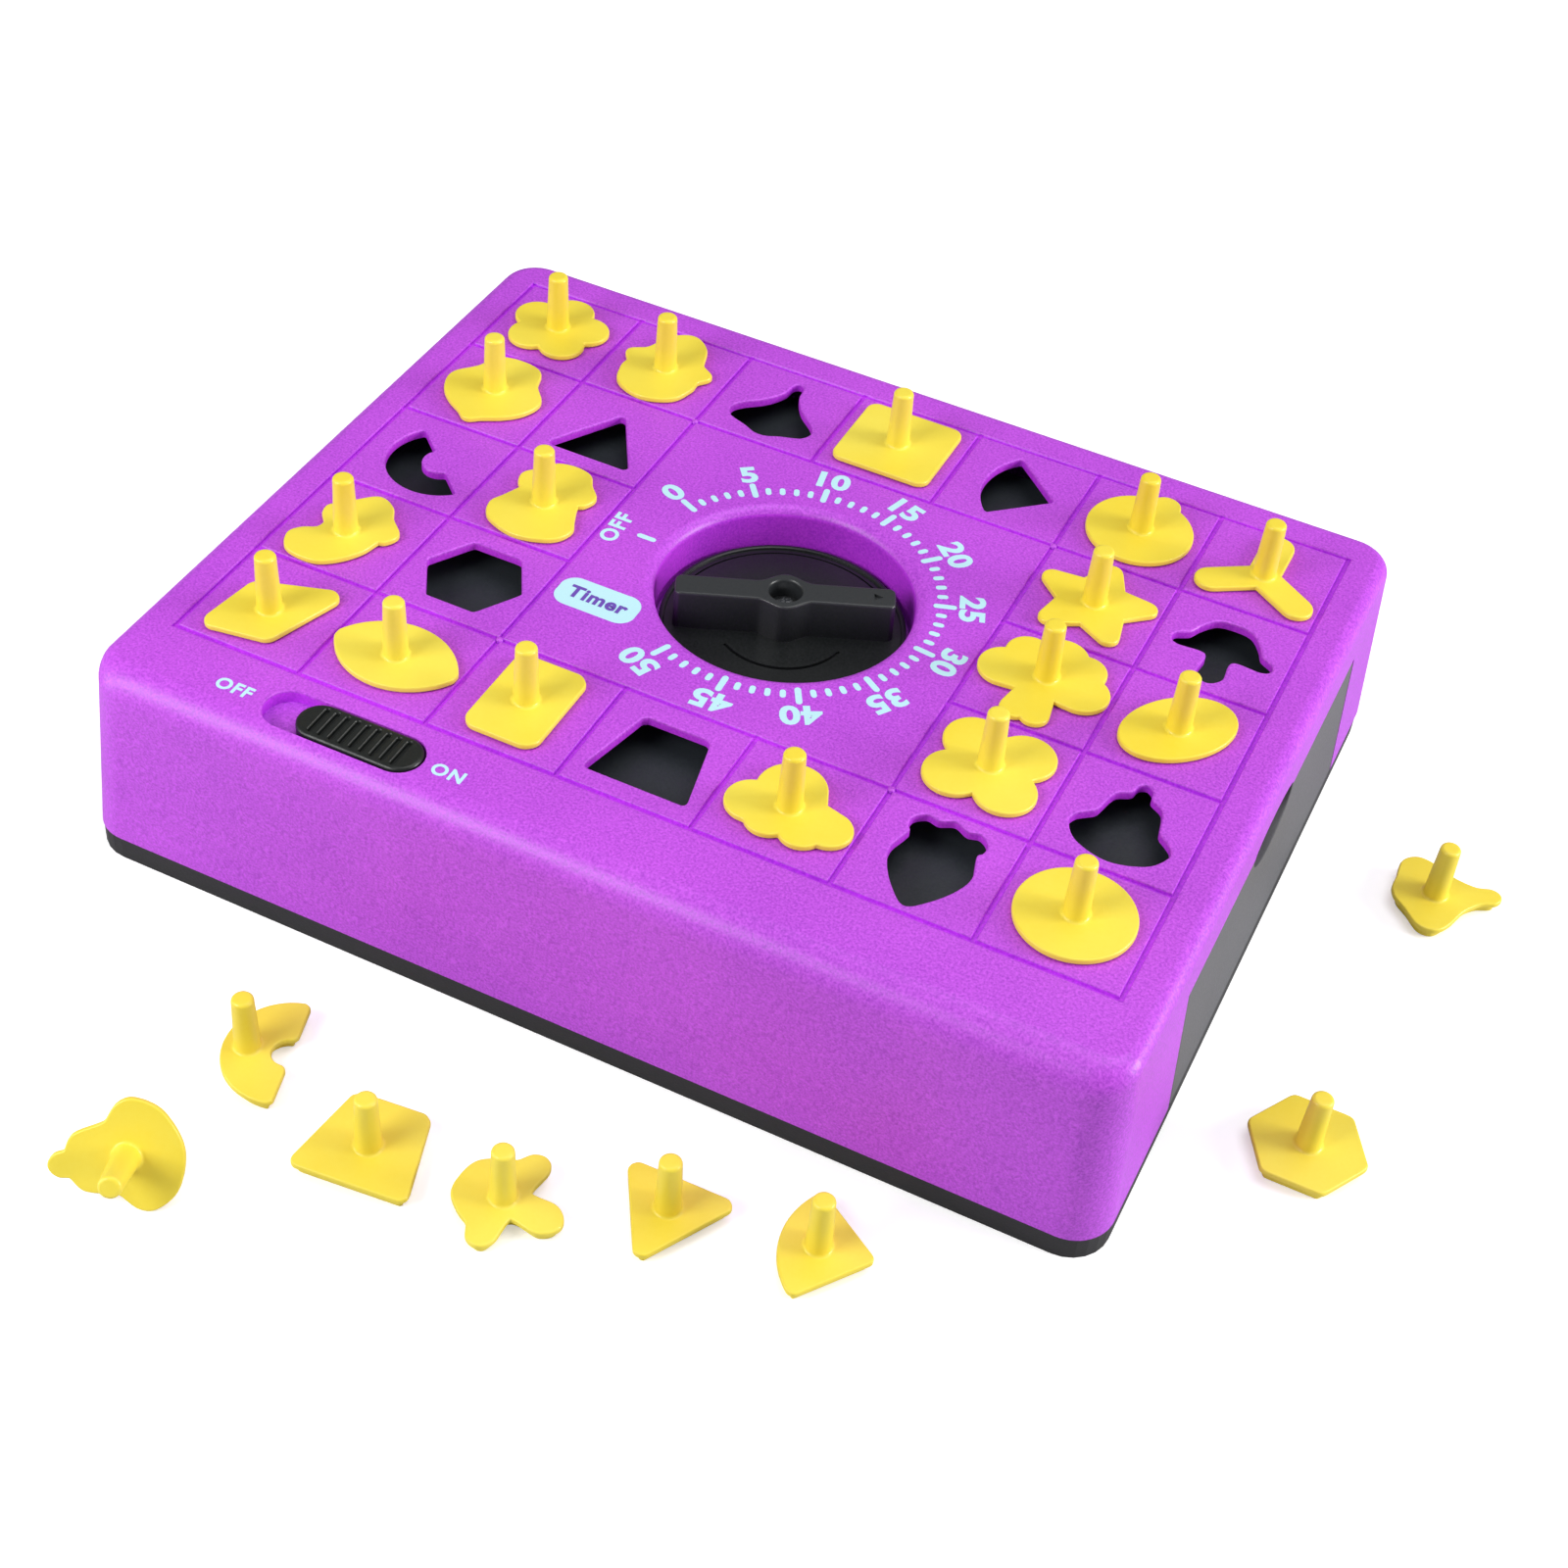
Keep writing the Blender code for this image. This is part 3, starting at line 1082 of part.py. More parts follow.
def clockwork():
    lower_top = LOWER_PLATE_FOOT + PLATE_THICKNESS
    second = from_polar((0, 0), CENTRE_MODULE * (CENTRE_TEETH + THIRD_PINION_TEETH) / 2, SECOND_ARBOR)
    third = from_polar(second, THIRD_MODULE * (THIRD_TEETH + ESCAPE_PINION_TEETH) / 2, THIRD_ARBOR)
    pallet = from_polar(third, PALLET_DISTANCE, PALLET_ARBOR)
    plate = rectangle(-PLATE_LEFT, PLATE_RIGHT, -PLATE_HALF_DEPTH, PLATE_HALF_DEPTH, PLATE_CORNER)
    bores = [circle(SHAFT_RADIUS + GAP, 16)] + [circle(ARBOR_BORE, 10, at) for at in (second, third, pallet)]
    upper_bores = bores + [circle(TIMER_SCREW_RADIUS + GAP, 10, from_polar((0, 0), TIMER_SCREW_REACH, angle))
                           for angle in TIMER_SCREWS]
    upper = build([(plate, UPPER_PLATE_FOOT), (plate, UPPER_PLATE_TOP)], upper_bores)
    make_object("timer_plate_upper", *upper, look="brass")
    lower = make_object("timer_plate_lower", *build([(plate, LOWER_PLATE_FOOT), (plate, lower_top)], bores),
                        look="brass")
    pillars = [column(PILLAR_RADIUS, lower_top - PLATE_THICKNESS / 2, UPPER_PLATE_FOOT - GAP, (x, y), 10)
               for x in (PILLAR_X, -PILLAR_X) for y in (PILLAR_Y, -PILLAR_Y)]
    combine(lower, make_object("pillars", *joined(pillars)), "UNION")
    bore = circle(SHAFT_RADIUS + GAP / 2, 16)
    make_object("mainspring_barrel", *build([(circle(BARREL_RADIUS, 32), BARREL_FOOT),
                                             (circle(BARREL_RADIUS, 32), BARREL_TOP)], [bore]), look="brass")
    wheel = gear_outline(CENTRE_MODULE, CENTRE_TEETH, 0)
    make_object("centre_wheel", *build([(wheel, CENTRE_FOOT), (wheel, CENTRE_FOOT + WHEEL_THICKNESS)],
                                       [bore]),
                look="brass")
    cam = [from_polar((0, 0), CAM_RADIUS - CAM_DROP * ((a + 60) % 360) / 360, a) for a in range(0, 360, 12)]
    make_object("trip_cam", *build([(cam, CAM_FOOT), (cam, CAM_TOP)], [bore]), look="black_plastic")
    pinion_phase = mesh_phase(SECOND_ARBOR, THIRD_PINION_TEETH, 0, CENTRE_TEETH)
    arbor = circle(ARBOR_RADIUS, 8, second)
    pinion = gear_outline(CENTRE_MODULE, THIRD_PINION_TEETH, pinion_phase, second)
    wheel = gear_outline(THIRD_MODULE, THIRD_TEETH, 0, second)
    pinion_foot = CENTRE_FOOT + WHEEL_THICKNESS / 2 - PINION_THICKNESS / 2
    make_object("third_wheel", *build([
        (arbor, LOWER_PLATE_FOOT + GAP), (arbor, pinion_foot), (pinion, pinion_foot),
        (pinion, pinion_foot + PINION_THICKNESS), (arbor, pinion_foot + PINION_THICKNESS),
        (arbor, THIRD_FOOT), (wheel, THIRD_FOOT), (wheel, THIRD_FOOT + WHEEL_THICKNESS),
        (arbor, THIRD_FOOT + WHEEL_THICKNESS), (arbor, UPPER_PLATE_TOP - GAP)]),
        look="brass", origin=(*second, THIRD_FOOT))
    arbor = circle(ARBOR_RADIUS, 8, third)
    pinion = gear_outline(THIRD_MODULE, ESCAPE_PINION_TEETH,
                          mesh_phase(THIRD_ARBOR, ESCAPE_PINION_TEETH, 0, THIRD_TEETH), third)
    wheel = ratchet_outline(ESCAPE_RADIUS, ESCAPE_TOOTH, ESCAPE_TEETH, third)
    pinion_foot = THIRD_FOOT + WHEEL_THICKNESS / 2 - PINION_THICKNESS / 2
    make_object("escape_wheel", *build([
        (arbor, LOWER_PLATE_FOOT + GAP), (arbor, pinion_foot), (pinion, pinion_foot),
        (pinion, pinion_foot + PINION_THICKNESS), (arbor, pinion_foot + PINION_THICKNESS),
        (arbor, ESCAPE_FOOT), (wheel, ESCAPE_FOOT), (wheel, ESCAPE_FOOT + WHEEL_THICKNESS),
        (arbor, ESCAPE_FOOT + WHEEL_THICKNESS), (arbor, UPPER_PLATE_TOP - GAP)]),
        look="brass", origin=(*third, ESCAPE_FOOT))
    arbor = circle(ARBOR_RADIUS, 8, pallet)
    across = Matrix.Rotation(math.radians(PALLET_ARBOR + 90), 4, "Z")
    bar = [tuple((across @ Vector((x, y, 0))).xy + Vector(pallet))
           for x, y in rectangle(-PALLET_LENGTH / 2, PALLET_LENGTH / 2, -PALLET_WIDTH / 2, PALLET_WIDTH / 2)]
    make_object("pallet_lever", *build([
        (arbor, LOWER_PLATE_FOOT + GAP), (arbor, ESCAPE_FOOT), (bar, ESCAPE_FOOT),
        (bar, ESCAPE_FOOT + WHEEL_THICKNESS), (arbor, ESCAPE_FOOT + WHEEL_THICKNESS),
        (arbor, UPPER_PLATE_TOP - GAP)]), look="steel", origin=(*pallet, ESCAPE_FOOT))
    seat = TOP - RECESS_DEPTH - TIMER_SCREW_HEAD_HEIGHT + GAP / 2
    for index, angle in enumerate(TIMER_SCREWS, 1):
        at = from_polar((0, 0), TIMER_SCREW_REACH, angle)
        head = circle(TIMER_SCREW_HEAD, 12, at)
        shank = circle(TIMER_SCREW_RADIUS, 12, at)
        make_object(f"timer_screw_{index}", *build([
            (shank, UPPER_PLATE_FOOT - 4 * GAP), (shank, seat), (head, seat),
            (head, seat + TIMER_SCREW_HEAD_HEIGHT - GAP)]), look="steel")


# Switch


def switch():
    floor = TOP - SLOT_DEPTH
    centre_x = SWITCH_X + (SLOT_LENGTH - SLIDER_LENGTH) / 2 - GAP
    crest = TOP + SLIDER_RISE
    shape = stadium(SLIDER_LENGTH, SLIDER_WIDTH, (centre_x, SWITCH_Y))
    slider = make_object("switch_slider", *build([(shape, floor + GAP), (shape, crest)]),
                         look="black_plastic")
    grooves = []
    for k in range(GROOVES):
        middle = centre_x + GROOVE_PITCH * (k - (GROOVES - 1) / 2)
        grooves.append(box(middle - GROOVE_WIDTH / 2, middle + GROOVE_WIDTH / 2,
                           SWITCH_Y - GROOVE_LENGTH / 2, SWITCH_Y + GROOVE_LENGTH / 2,
                           crest - GROOVE_DEPTH, crest + WALL))
    combine(slider, make_object("grooves", *joined(grooves)), "DIFFERENCE")
    move_origin(slider, (SWITCH_X, SWITCH_Y, floor))
    x0, x1 = SWITCH_X - LINK_LENGTH / 2, SWITCH_X + LINK_LENGTH / 2
    y0, y1 = SWITCH_Y - LINK_WIDTH / 2, SWITCH_Y + LINK_WIDTH / 2
    bottom = LINK_TOP - LINK_THICKNESS
    flat = [(x0, y0), (x1, y0), (x1, LINK_REACH_Y - LINK_LENGTH), (LINK_REACH_X, LINK_REACH_Y - LINK_LENGTH),
            (LINK_REACH_X, LINK_REACH_Y), (x0, LINK_REACH_Y)]
    stalk = rectangle(x0 + GAP, x1 - GAP, y0 + GAP, y1 - GAP)
    make_object("switch_link", *build([(flat, bottom), (flat, LINK_TOP), (stalk, LINK_TOP), (stalk, floor)]),
                look="black_plastic", origin=(SWITCH_X, SWITCH_Y, LINK_TOP))


def move_origin(item, point):
    home = Vector(point)
    item.data.transform(Matrix.Translation(item.location - home))
    item.location = home


# Drawer


def drawer():
    low, high, top = PANEL_FRONT_Y + GAP, PANEL_BACK_Y - GAP, PANEL_TOP - GAP
    outer = [(low, BAND_TOP + GAP), (high, BAND_TOP + GAP), (high, top)]
    notch = [(NOTCH_Y + NOTCH_HALF_WIDTH * math.cos(math.radians(a)),
              top - NOTCH_DEPTH * math.sin(math.radians(a))) for a in range(0, 181, 15)]
    outer += notch + [(low, top)]
    verts, faces = along_x(outer, 0, PANEL_THICKNESS)
    verts = [(wall_x(z) - PANEL_THICKNESS + x, y, z) for x, y, z in verts]
    part = make_object("storage_drawer", verts, faces, look="grey_plastic")
    y0, y1 = PANEL_FRONT_Y + DRAWER_INSET, PANEL_BACK_Y - DRAWER_INSET
    front = wall_x(PANEL_TOP) - PANEL_THICKNESS
    foot = BAND_TOP + GAP
    tray = make_object("tray", *box(DRAWER_BACK_X, front + PANEL_THICKNESS / 2, y0, y1, foot, DRAWER_TOP))
    hollow = make_object("hollow", *box(DRAWER_BACK_X + DRAWER_WALL, front, y0 + DRAWER_WALL,
                                        y1 - DRAWER_WALL, foot + DRAWER_WALL, DRAWER_TOP + WALL))
    combine(tray, hollow, "DIFFERENCE")
    combine(part, tray, "UNION")
    move_origin(part, (DRAWER_BACK_X, (y0 + y1) / 2, foot))
    for index, low in enumerate((y0 - GAP - RUNNER_WIDTH, y1 + GAP), 1):
        make_object(f"drawer_runner_{index}",
                    *box(RUNNER_BACK_X, RUNNER_FRONT_X, low, low + RUNNER_WIDTH, FLOOR + GAP,
                         FLOOR + GAP + RUNNER_HEIGHT),
                    look="black_plastic")


# Pieces


def piece_mesh(name):
    """Piece about its stem's axis with the plug's underside at zero height; also the stem's place."""
    outline = shape_outline(name)
    at = centroid(outline)
    if name in STEM_SHARES:
        at = np.array(STEM_SHARES[name]) * CELL
    outline = outline - at
    plug = simplified(grown(outline, -GAP), TOLERANCE)
    flange = simplified(grown(outline, LIP), TOLERANCE)
    top = PLUG + FLANGE
    levels = [(plug, 0), (plug, PLUG), (flange, PLUG), (flange, top),
              (circle(STEM_FOOT_RADIUS + STEM_FLARE, 10), top),
              (circle(STEM_FOOT_RADIUS, 10), top + STEM_FLARE),
              (circle(STEM_TOP_RADIUS, 10), PLUG + STEM_HEIGHT - STEM_FLARE / 2),
              (circle(STEM_TOP_RADIUS - STEM_FLARE, 10), PLUG + STEM_HEIGHT)]
    return build(levels), at


def bulb_matrix():
    turn_z, lift = (math.radians(a) for a in BULB_STEM_ANGLES)
    stem = Vector((math.cos(lift) * math.cos(turn_z), math.cos(lift) * math.sin(turn_z), math.sin(lift)))
    side = Vector((0, 0, 1)).cross(stem).normalized()
    up = stem.cross(side)
    turn = math.radians(BULB_TURN)
    across = side * math.cos(turn) + up * math.sin(turn)
    along = up * math.cos(turn) - side * math.sin(turn)
    return Matrix((across, along, stem)).transposed().to_4x4()


def pieces():
    for name in CELLS:
        if name == "strawberry":
            continue
        (verts, faces), at = piece_mesh(name)
        if name in LOOSE_SHARES:
            x, y, turn = LOOSE_SHARES[name]
            place = (x * CELL, y * CELL, 0)
            matrix = Matrix.Translation(place) @ Matrix.Rotation(math.radians(turn), 4, "Z")
        elif name == "bulb":
            tilt = bulb_matrix()
            low = min((tilt @ Vector(v)).z for v in verts)
            place = (BULB_SHARES[0] * CELL, BULB_SHARES[1] * CELL, -low)
            matrix = Matrix.Translation(place) @ tilt
        else:
            x, y = cell_centre(name)
            place = (x + at[0], y + at[1], TOP + GAP - PLUG)
            matrix = Matrix.Translation(place)
        make_object(f"piece_{name}", verts, faces, "yellow_plastic", place, matrix)


clear_scene()
top_housing()
base_plate()
base_screws()
ejector_plate()
guide_pins_and_springs()
latch()
dial()
clockwork()
switch()
drawer()
pieces()
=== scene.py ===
import math

import bpy
import numpy as np
from mathutils import Matrix, Vector
from mathutils.geometry import delaunay_2d_cdt


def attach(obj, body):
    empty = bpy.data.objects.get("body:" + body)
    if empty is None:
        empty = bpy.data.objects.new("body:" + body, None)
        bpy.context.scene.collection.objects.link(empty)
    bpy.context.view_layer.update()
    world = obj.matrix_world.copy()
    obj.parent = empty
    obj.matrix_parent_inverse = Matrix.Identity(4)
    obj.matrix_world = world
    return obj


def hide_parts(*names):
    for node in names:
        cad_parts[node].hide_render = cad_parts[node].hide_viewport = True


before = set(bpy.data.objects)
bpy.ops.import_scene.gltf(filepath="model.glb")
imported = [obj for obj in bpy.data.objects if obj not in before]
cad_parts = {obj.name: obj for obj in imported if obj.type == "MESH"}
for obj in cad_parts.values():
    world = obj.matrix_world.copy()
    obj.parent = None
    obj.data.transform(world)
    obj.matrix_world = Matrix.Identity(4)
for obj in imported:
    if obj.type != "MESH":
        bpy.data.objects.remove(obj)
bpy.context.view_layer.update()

MM = 0.001

# Sizes in millimetres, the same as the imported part's
CELL = 30.0
TOP = 50.0
BAND_TOP = 5.8
FOOT_HALF_WIDTH, TOP_HALF_WIDTH = 116.6, 113.9
FOOT_FRONT, TOP_FRONT = 98.0, 95.0
FOOT_BACK, TOP_BACK = 87.0, 85.0
CORNER_RADIUS = 9.0
FRONT_FILLET, EDGE_FILLET = 6.84, 3.5
WALL, TOP_WALL = 2.2, 2.0
GAP = 0.3
LIP, FLANGE, PLUG, STEM_HEIGHT = 1.0, 1.3, 2.5, 15.5
STEM_FOOT_RADIUS, STEM_TOP_RADIUS, STEM_FLARE = 2.7, 2.3, 0.7
RECESS_RADIUS, RECESS_LIP_RADIUS, RECESS_LIP_DEPTH, RECESS_DEPTH = 28.4, 31.0, 2.4, 12.6
CUP_WALL = 2.0
KNOB_RADIUS, KNOB_DEPTH, KNOB_THICKNESS = 27.2, 9.6, 2.4
GRIP_REACH, GRIP_HALF_WIDTH, HUB_RADIUS = 24.0, 3.2, 5.8
SHAFT_RADIUS = 2.0
POINTER = 24.3
SWITCH = (-57.6, -84.9)
SLOT_LENGTH, SLOT_WIDTH, SLOT_DEPTH = 36.6, 10.8, 3.0
SLIDER_LENGTH, SLIDER_WIDTH, SLIDER_RISE = 28.4, 10.0, 0.3
GROOVES, GROOVE_PITCH, GROOVE_WIDTH, GROOVE_LENGTH, GROOVE_DEPTH = 9, 2.4, 1.0, 7.4, 0.8
PANEL_FRONT, PANEL_BACK, PANEL_TOP, PANEL_THICKNESS = -57.7, 55.9, 39.0, 2.4
NOTCH_Y, NOTCH_HALF_WIDTH, NOTCH_DEPTH, NOTCH_BULGE = -3.0, 13.0, 6.5, 2.6
DRAWER_BACK, DRAWER_TOP, DRAWER_WALL, DRAWER_INSET = 38.0, 31.0, 1.6, 1.2
POSTS = [(x, y) for x in (100, -100) for y in (79.2, -87.5)]
POST_RADIUS = 3.2

# Fineness of the outlines: least distance of points, deviation allowed, smallest length, steps between points
SPACING, TOLERANCE, FINE, SLICES = 0.12, 0.03, 0.003, 8

# Edges, prints and their places, in millimetres and degrees
HOLE_RIM = 0.5
SLOT_RIM = 0.4
GROOVE_HALF_WIDTH, GROOVE_DEEP = 0.55, 0.7
# Depth below the top where walls start to carry the painted shade
SHADE_DEPTH = 0.45
PRINT_OFFSET = (-0.3, 0.7)
FIRST_MARK, MARK_STEP, MARKS = 154.4, 26.82, 11
NUMBER_REACH = 40.3
LABEL_RADIUS = 3.6

CAMERA_PLACE = (0.15912, -0.39186, 0.39804)
CAMERA_RIGHT, CAMERA_FORWARD = (0.89935, 0.43108, 0.07307), (-0.26538, 0.671, -0.69234)
LENS, SENSOR = 57.967, 36
LIGHTS = {"top": ((0.25, 0.15, 1.0), 0.8, 4.4), "front": ((-0.36, -0.62, 0.53), 0.4, 4.1),
          "left": ((-0.45, -0.32, 0.12), 0.2, 0.6), "right": ((1.1, 0.3, 0.35), 0.5, 11.5)}
LIGHTS_AIM = (0, 0, 0.03)
FLOOR_REACH, FLOOR_DROP = 3000, 0.05

# Outlines of the holes in shares of a cell, from its centre


def around(reach, radius, count, start):
    return [(reach * math.cos(math.radians(start + 360 / count * k)),
             reach * math.sin(math.radians(start + 360 / count * k)), radius) for k in range(count)]


LOBES = {
    "flower": ((0, 0), around(0.235, 0.15, 5, 90)),
    "spokes": ((0, -0.09), [(0, 0.30, 0.09), (0.33, -0.31, 0.09), (-0.33, -0.31, 0.09)]),
    "apple": ((0.01, -0.035), [(0.01, -0.035, 0.375), (0.09, 0.33, 0.085)]),
    "tree": ((0, 0.03), [(0.29, 0, 0.165), (-0.29, 0, 0.165), (0.03, 0.28, 0.165), (0.22, 0.22, 0.135),
                         (-0.20, 0.22, 0.135), (0.075, -0.37, 0.075), (-0.075, -0.37, 0.075)]),
    "clover": ((0, 0), around(0.262, 0.188, 4, 45)),
    "cloud": ((0, -0.02), [(-0.06, 0.125, 0.21), (-0.24, -0.10, 0.16), (0.31, -0.10, 0.135),
                           (0.16, -0.19, 0.13), (-0.08, -0.19, 0.135)]),
    "circle": ((0, 0), [(0, 0, 0.375)]),
}
POLYGONS = {
    "square": (0.06, [(0.3675, 0.3675), (-0.3675, 0.3675), (-0.3675, -0.3675), (0.3675, -0.3675)]),
    "rectangle": (0.07, [(0.25, 0.3775), (-0.25, 0.3775), (-0.25, -0.3775), (0.25, -0.3775)]),
    "triangle": (0.03, [(0, 0.29), (-0.36, -0.335), (0.36, -0.335)]),
    "kite": (0.06, [(-0.25, 0.10), (-0.32, -0.415), (0.155, -0.335), (0.355, 0.315)]),
    "trapezoid": (0.03, [(0.25, 0.31), (-0.25, 0.31), (-0.388, -0.33), (0.388, -0.33)]),
    "hexagon": (0.03, [(x, y) for x, y, _ in around(0.39, 0, 6, 0)]),
    "star": (0.05, [(0.01 + (0.24 if k % 2 else 0.51) * math.cos(math.radians(90 + 36 * k)),
                     -0.02 + (0.24 if k % 2 else 0.51) * math.sin(math.radians(90 + 36 * k)))
                    for k in range(10)]),
}
HALVES = {
    "bell": [(0, 0.43), (0.145, 0.33), (0.225, 0.12), (0.345, 0.02), (0.285, -0.09), (0.285, -0.20),
             (0.215, -0.375), (0, -0.46)],
    "onion": [(0, 0.37), (0.045, 0.33), (0.06, 0.21), (0.15, 0.06), (0.29, -0.07), (0.345, -0.17),
              (0.30, -0.27), (0.15, -0.33), (0.06, -0.375), (0, -0.385)],
    "peach": [(0, 0.405), (0.17, 0.36), (0.24, 0.19), (0.365, 0.02), (0.33, -0.145), (0.225, -0.265),
              (0.09, -0.35), (0, -0.415)],
    "mushroom": [(0, 0.325), (0.13, 0.30), (0.22, 0.19), (0.27, 0.09), (0.36, 0.03), (0.375, -0.04),
                 (0.31, -0.085), (0.10, -0.09), (0.095, -0.30), (0, -0.385)],
    "gourd": [(0, 0.42), (0.125, 0.39), (0.19, 0.29), (0.28, 0.185), (0.26, 0.09), (0.21, 0.035),
              (0.27, -0.13), (0.315, -0.25), (0.24, -0.385), (0, -0.46)],
    "bulb": [(0, 0.40), (0.05, 0.365), (0.07, 0.29), (0.165, 0.22), (0.205, 0.07), (0.23, 0),
             (0.33, -0.09), (0.345, -0.19), (0.24, -0.33), (0, -0.405)],
    "strawberry": [(0, 0.43), (0.10, 0.385), (0.19, 0.40), (0.265, 0.335), (0.265, 0.25), (0.24, 0.20),
                   (0.287, 0.01), (0.24, -0.155), (0.13, -0.32), (0, -0.43)],
}
EGGPLANT = [(-0.015, 0.36), (0.10, 0.31), (0.17, 0.20), (0.295, 0.075), (0.27, -0.02), (0.215, -0.055),
            (0.18, -0.20), (0.095, -0.34), (-0.03, -0.44), (-0.18, -0.45), (-0.29, -0.41),
            (-0.345, -0.30), (-0.30, -0.22), (-0.205, -0.155), (-0.19, -0.055), (-0.26, 0.035),
            (-0.27, 0.11), (-0.21, 0.15), (-0.115, 0.275)]
GOURD_SHIFT = 0.03
SECTOR_APEX, SECTOR_RADIUS, SECTOR_HALF_ANGLE = 0.31, 0.56, 43.0
RING_CENTRE, RING_RADIUS, RING_NOTCH, RING_CHORD = (0.09, 0.04), 0.41, 0.14, -43.2
LENS_HALF_WIDTH, LENS_HALF_HEIGHT, LENS_Y = 0.455, 0.295, -0.045
EGG_LONG, EGG_SHORT, EGG_TURN = 0.42, 0.265, 50.0
CELLS = {
    "flower": (0, 0), "bell": (0, 1), "onion": (0, 2), "square": (0, 3), "sector": (0, 4),
    "apple": (0, 5), "spokes": (0, 6), "peach": (1, 0), "triangle": (1, 1), "star": (1, 5),
    "mushroom": (1, 6), "half_ring": (2, 0), "gourd": (2, 1), "tree": (2, 5), "egg": (2, 6),
    "eggplant": (3, 0), "hexagon": (3, 1), "clover": (3, 5), "bulb": (3, 6), "kite": (4, 0),
    "lens": (4, 1), "rectangle": (4, 2), "trapezoid": (4, 3), "cloud": (4, 4),
    "strawberry": (4, 5), "circle": (4, 6)}
STEMS = {"spokes": (0, -0.07), "half_ring": (-0.098, -0.160)}
LOOSE = {
    "half_ring": (-1.763, -4.373, -31.0), "trapezoid": (-0.620, -4.693, 6.0),
    "mushroom": (0.343, -4.630, 86.0), "triangle": (1.300, -4.200, 181.0),
    "sector": (2.273, -4.007, 11.0), "hexagon": (4.810, -1.683, 0.0),
    "onion": (4.960, 1.043, -65.0)}
BULB_PLACE, BULB_STEM_ANGLES, BULB_TURN = (-1.830, -5.534), (-65.3, 29.0), 101.4


# Plane outlines, counter-clockwise


def signed_area(points):
    p = np.asarray(points)
    q = np.roll(p, -1, axis=0)
    return float((p[:, 0] * q[:, 1] - q[:, 0] * p[:, 1]).sum() / 2)


def centroid(points):
    p = np.asarray(points)
    q = np.roll(p, -1, axis=0)
    cross = p[:, 0] * q[:, 1] - q[:, 0] * p[:, 1]
    return ((p + q) * cross[:, None]).sum(axis=0) / (3 * cross.sum())


def distances(points, outline):
    p = np.asarray(points)[:, None, :]
    a = np.asarray(outline)[None, :, :]
    run = np.roll(a, -1, axis=1) - a
    share = ((p - a) * run).sum(axis=2) / np.maximum((run * run).sum(axis=2), 1e-12)
    nearest = a + np.clip(share, 0, 1)[:, :, None] * run
    return np.sqrt(((p - nearest) ** 2).sum(axis=2)).min(axis=1)


def spaced(outline, step):
    """The outline's points thinned so that none stand closer than the step."""
    kept = [outline[0]]
    for point in outline[1:]:
        if math.dist(point, kept[-1]) >= step:
            kept.append(point)
    if math.dist(kept[0], kept[-1]) < step:
        kept.pop()
    return np.array(kept)


def untangled(outline):
    """The outline without the small loops where two stretches of it cross."""
    p = [tuple(point) for point in outline]

    def side(a, b, c):
        return (b[0] - a[0]) * (c[1] - a[1]) - (b[1] - a[1]) * (c[0] - a[0])

    def crossing(a, b, c, d):
        return side(a, b, c) * side(a, b, d) < 0 and side(c, d, a) * side(c, d, b) < 0

    i = 0
    while i < len(p):
        q = p[i:] + p[:i]
        for j in range(min(len(q) // 3, 24), 1, -1):
            if crossing(q[0], q[1], q[j], q[j + 1]):
                p = q[:1] + q[j + 1:]
                i = -1
                break
        i += 1
    return np.array(p)


def edge_normals(p):
    run = np.roll(p, -1, axis=0) - p
    run /= np.linalg.norm(run, axis=1)[:, None]
    return np.stack([run[:, 1], -run[:, 0]], axis=1)


def grown(outline, amount):
    """The outline moved outwards by the amount, or inwards if it is below zero."""
    p = spaced(np.asarray(outline, float), SPACING)
    if not amount:
        return p
    normal = edge_normals(p)
    moved = []
    for i in range(len(p)):
        before, after = normal[i - 1], normal[i]
        turn = math.atan2(before[0] * after[1] - before[1] * after[0], float(before @ after))
        middle = before + after
        if turn * amount <= 0 or abs(turn) < math.radians(20):
            moved.append(p[i] + amount * middle / np.linalg.norm(middle))
            continue
        steps = math.ceil(abs(turn) / math.radians(12))
        start = math.atan2(before[1], before[0])
        for k in range(steps + 1):
            angle = start + turn * k / steps
            moved.append(p[i] + amount * np.array([math.cos(angle), math.sin(angle)]))
    moved = np.array(moved)
    moved = moved[distances(moved, p) > abs(amount) * 0.96]
    return untangled(spaced(moved, SPACING))


def eased(outline, amount):
    """The outline moved a little, point for point."""
    p = np.asarray(outline, float)
    normal = edge_normals(p)
    middle = normal + np.roll(normal, 1, axis=0)
    middle /= np.linalg.norm(middle, axis=1)[:, None]
    return p + amount * middle


def rounded(outline, radius):
    return grown(grown(outline, -radius), radius)


def simplified(outline, tolerance):
    """The fewest of the outline's own points that stay within the tolerance."""
    p = np.asarray(outline)
    far = int(np.argmax(np.linalg.norm(p - p[0], axis=1)))
    closed = np.concatenate([p, p[:1]])
    keep = {0, far}
    spans = [(0, far), (far, len(p))]
    while spans:
        a, b = spans.pop()
        if b - a < 2:
            continue
        chord = closed[b] - closed[a]
        between = closed[a + 1:b] - closed[a]
        off = abs(between[:, 0] * chord[1] - between[:, 1] * chord[0]) / max(np.linalg.norm(chord), FINE)
        worst = int(np.argmax(off))
        if off[worst] > tolerance:
            middle = a + 1 + worst
            keep.add(middle)
            spans += [(a, middle), (middle, b)]
    return p[sorted(keep)]


def densified(corners, step):
    points = []
    for a, b in zip(corners, corners[1:] + corners[:1]):
        count = max(1, math.ceil(math.dist(a, b) / step))
        points += [(a[0] + (b[0] - a[0]) * k / count, a[1] + (b[1] - a[1]) * k / count)
                   for k in range(count)]
    return points


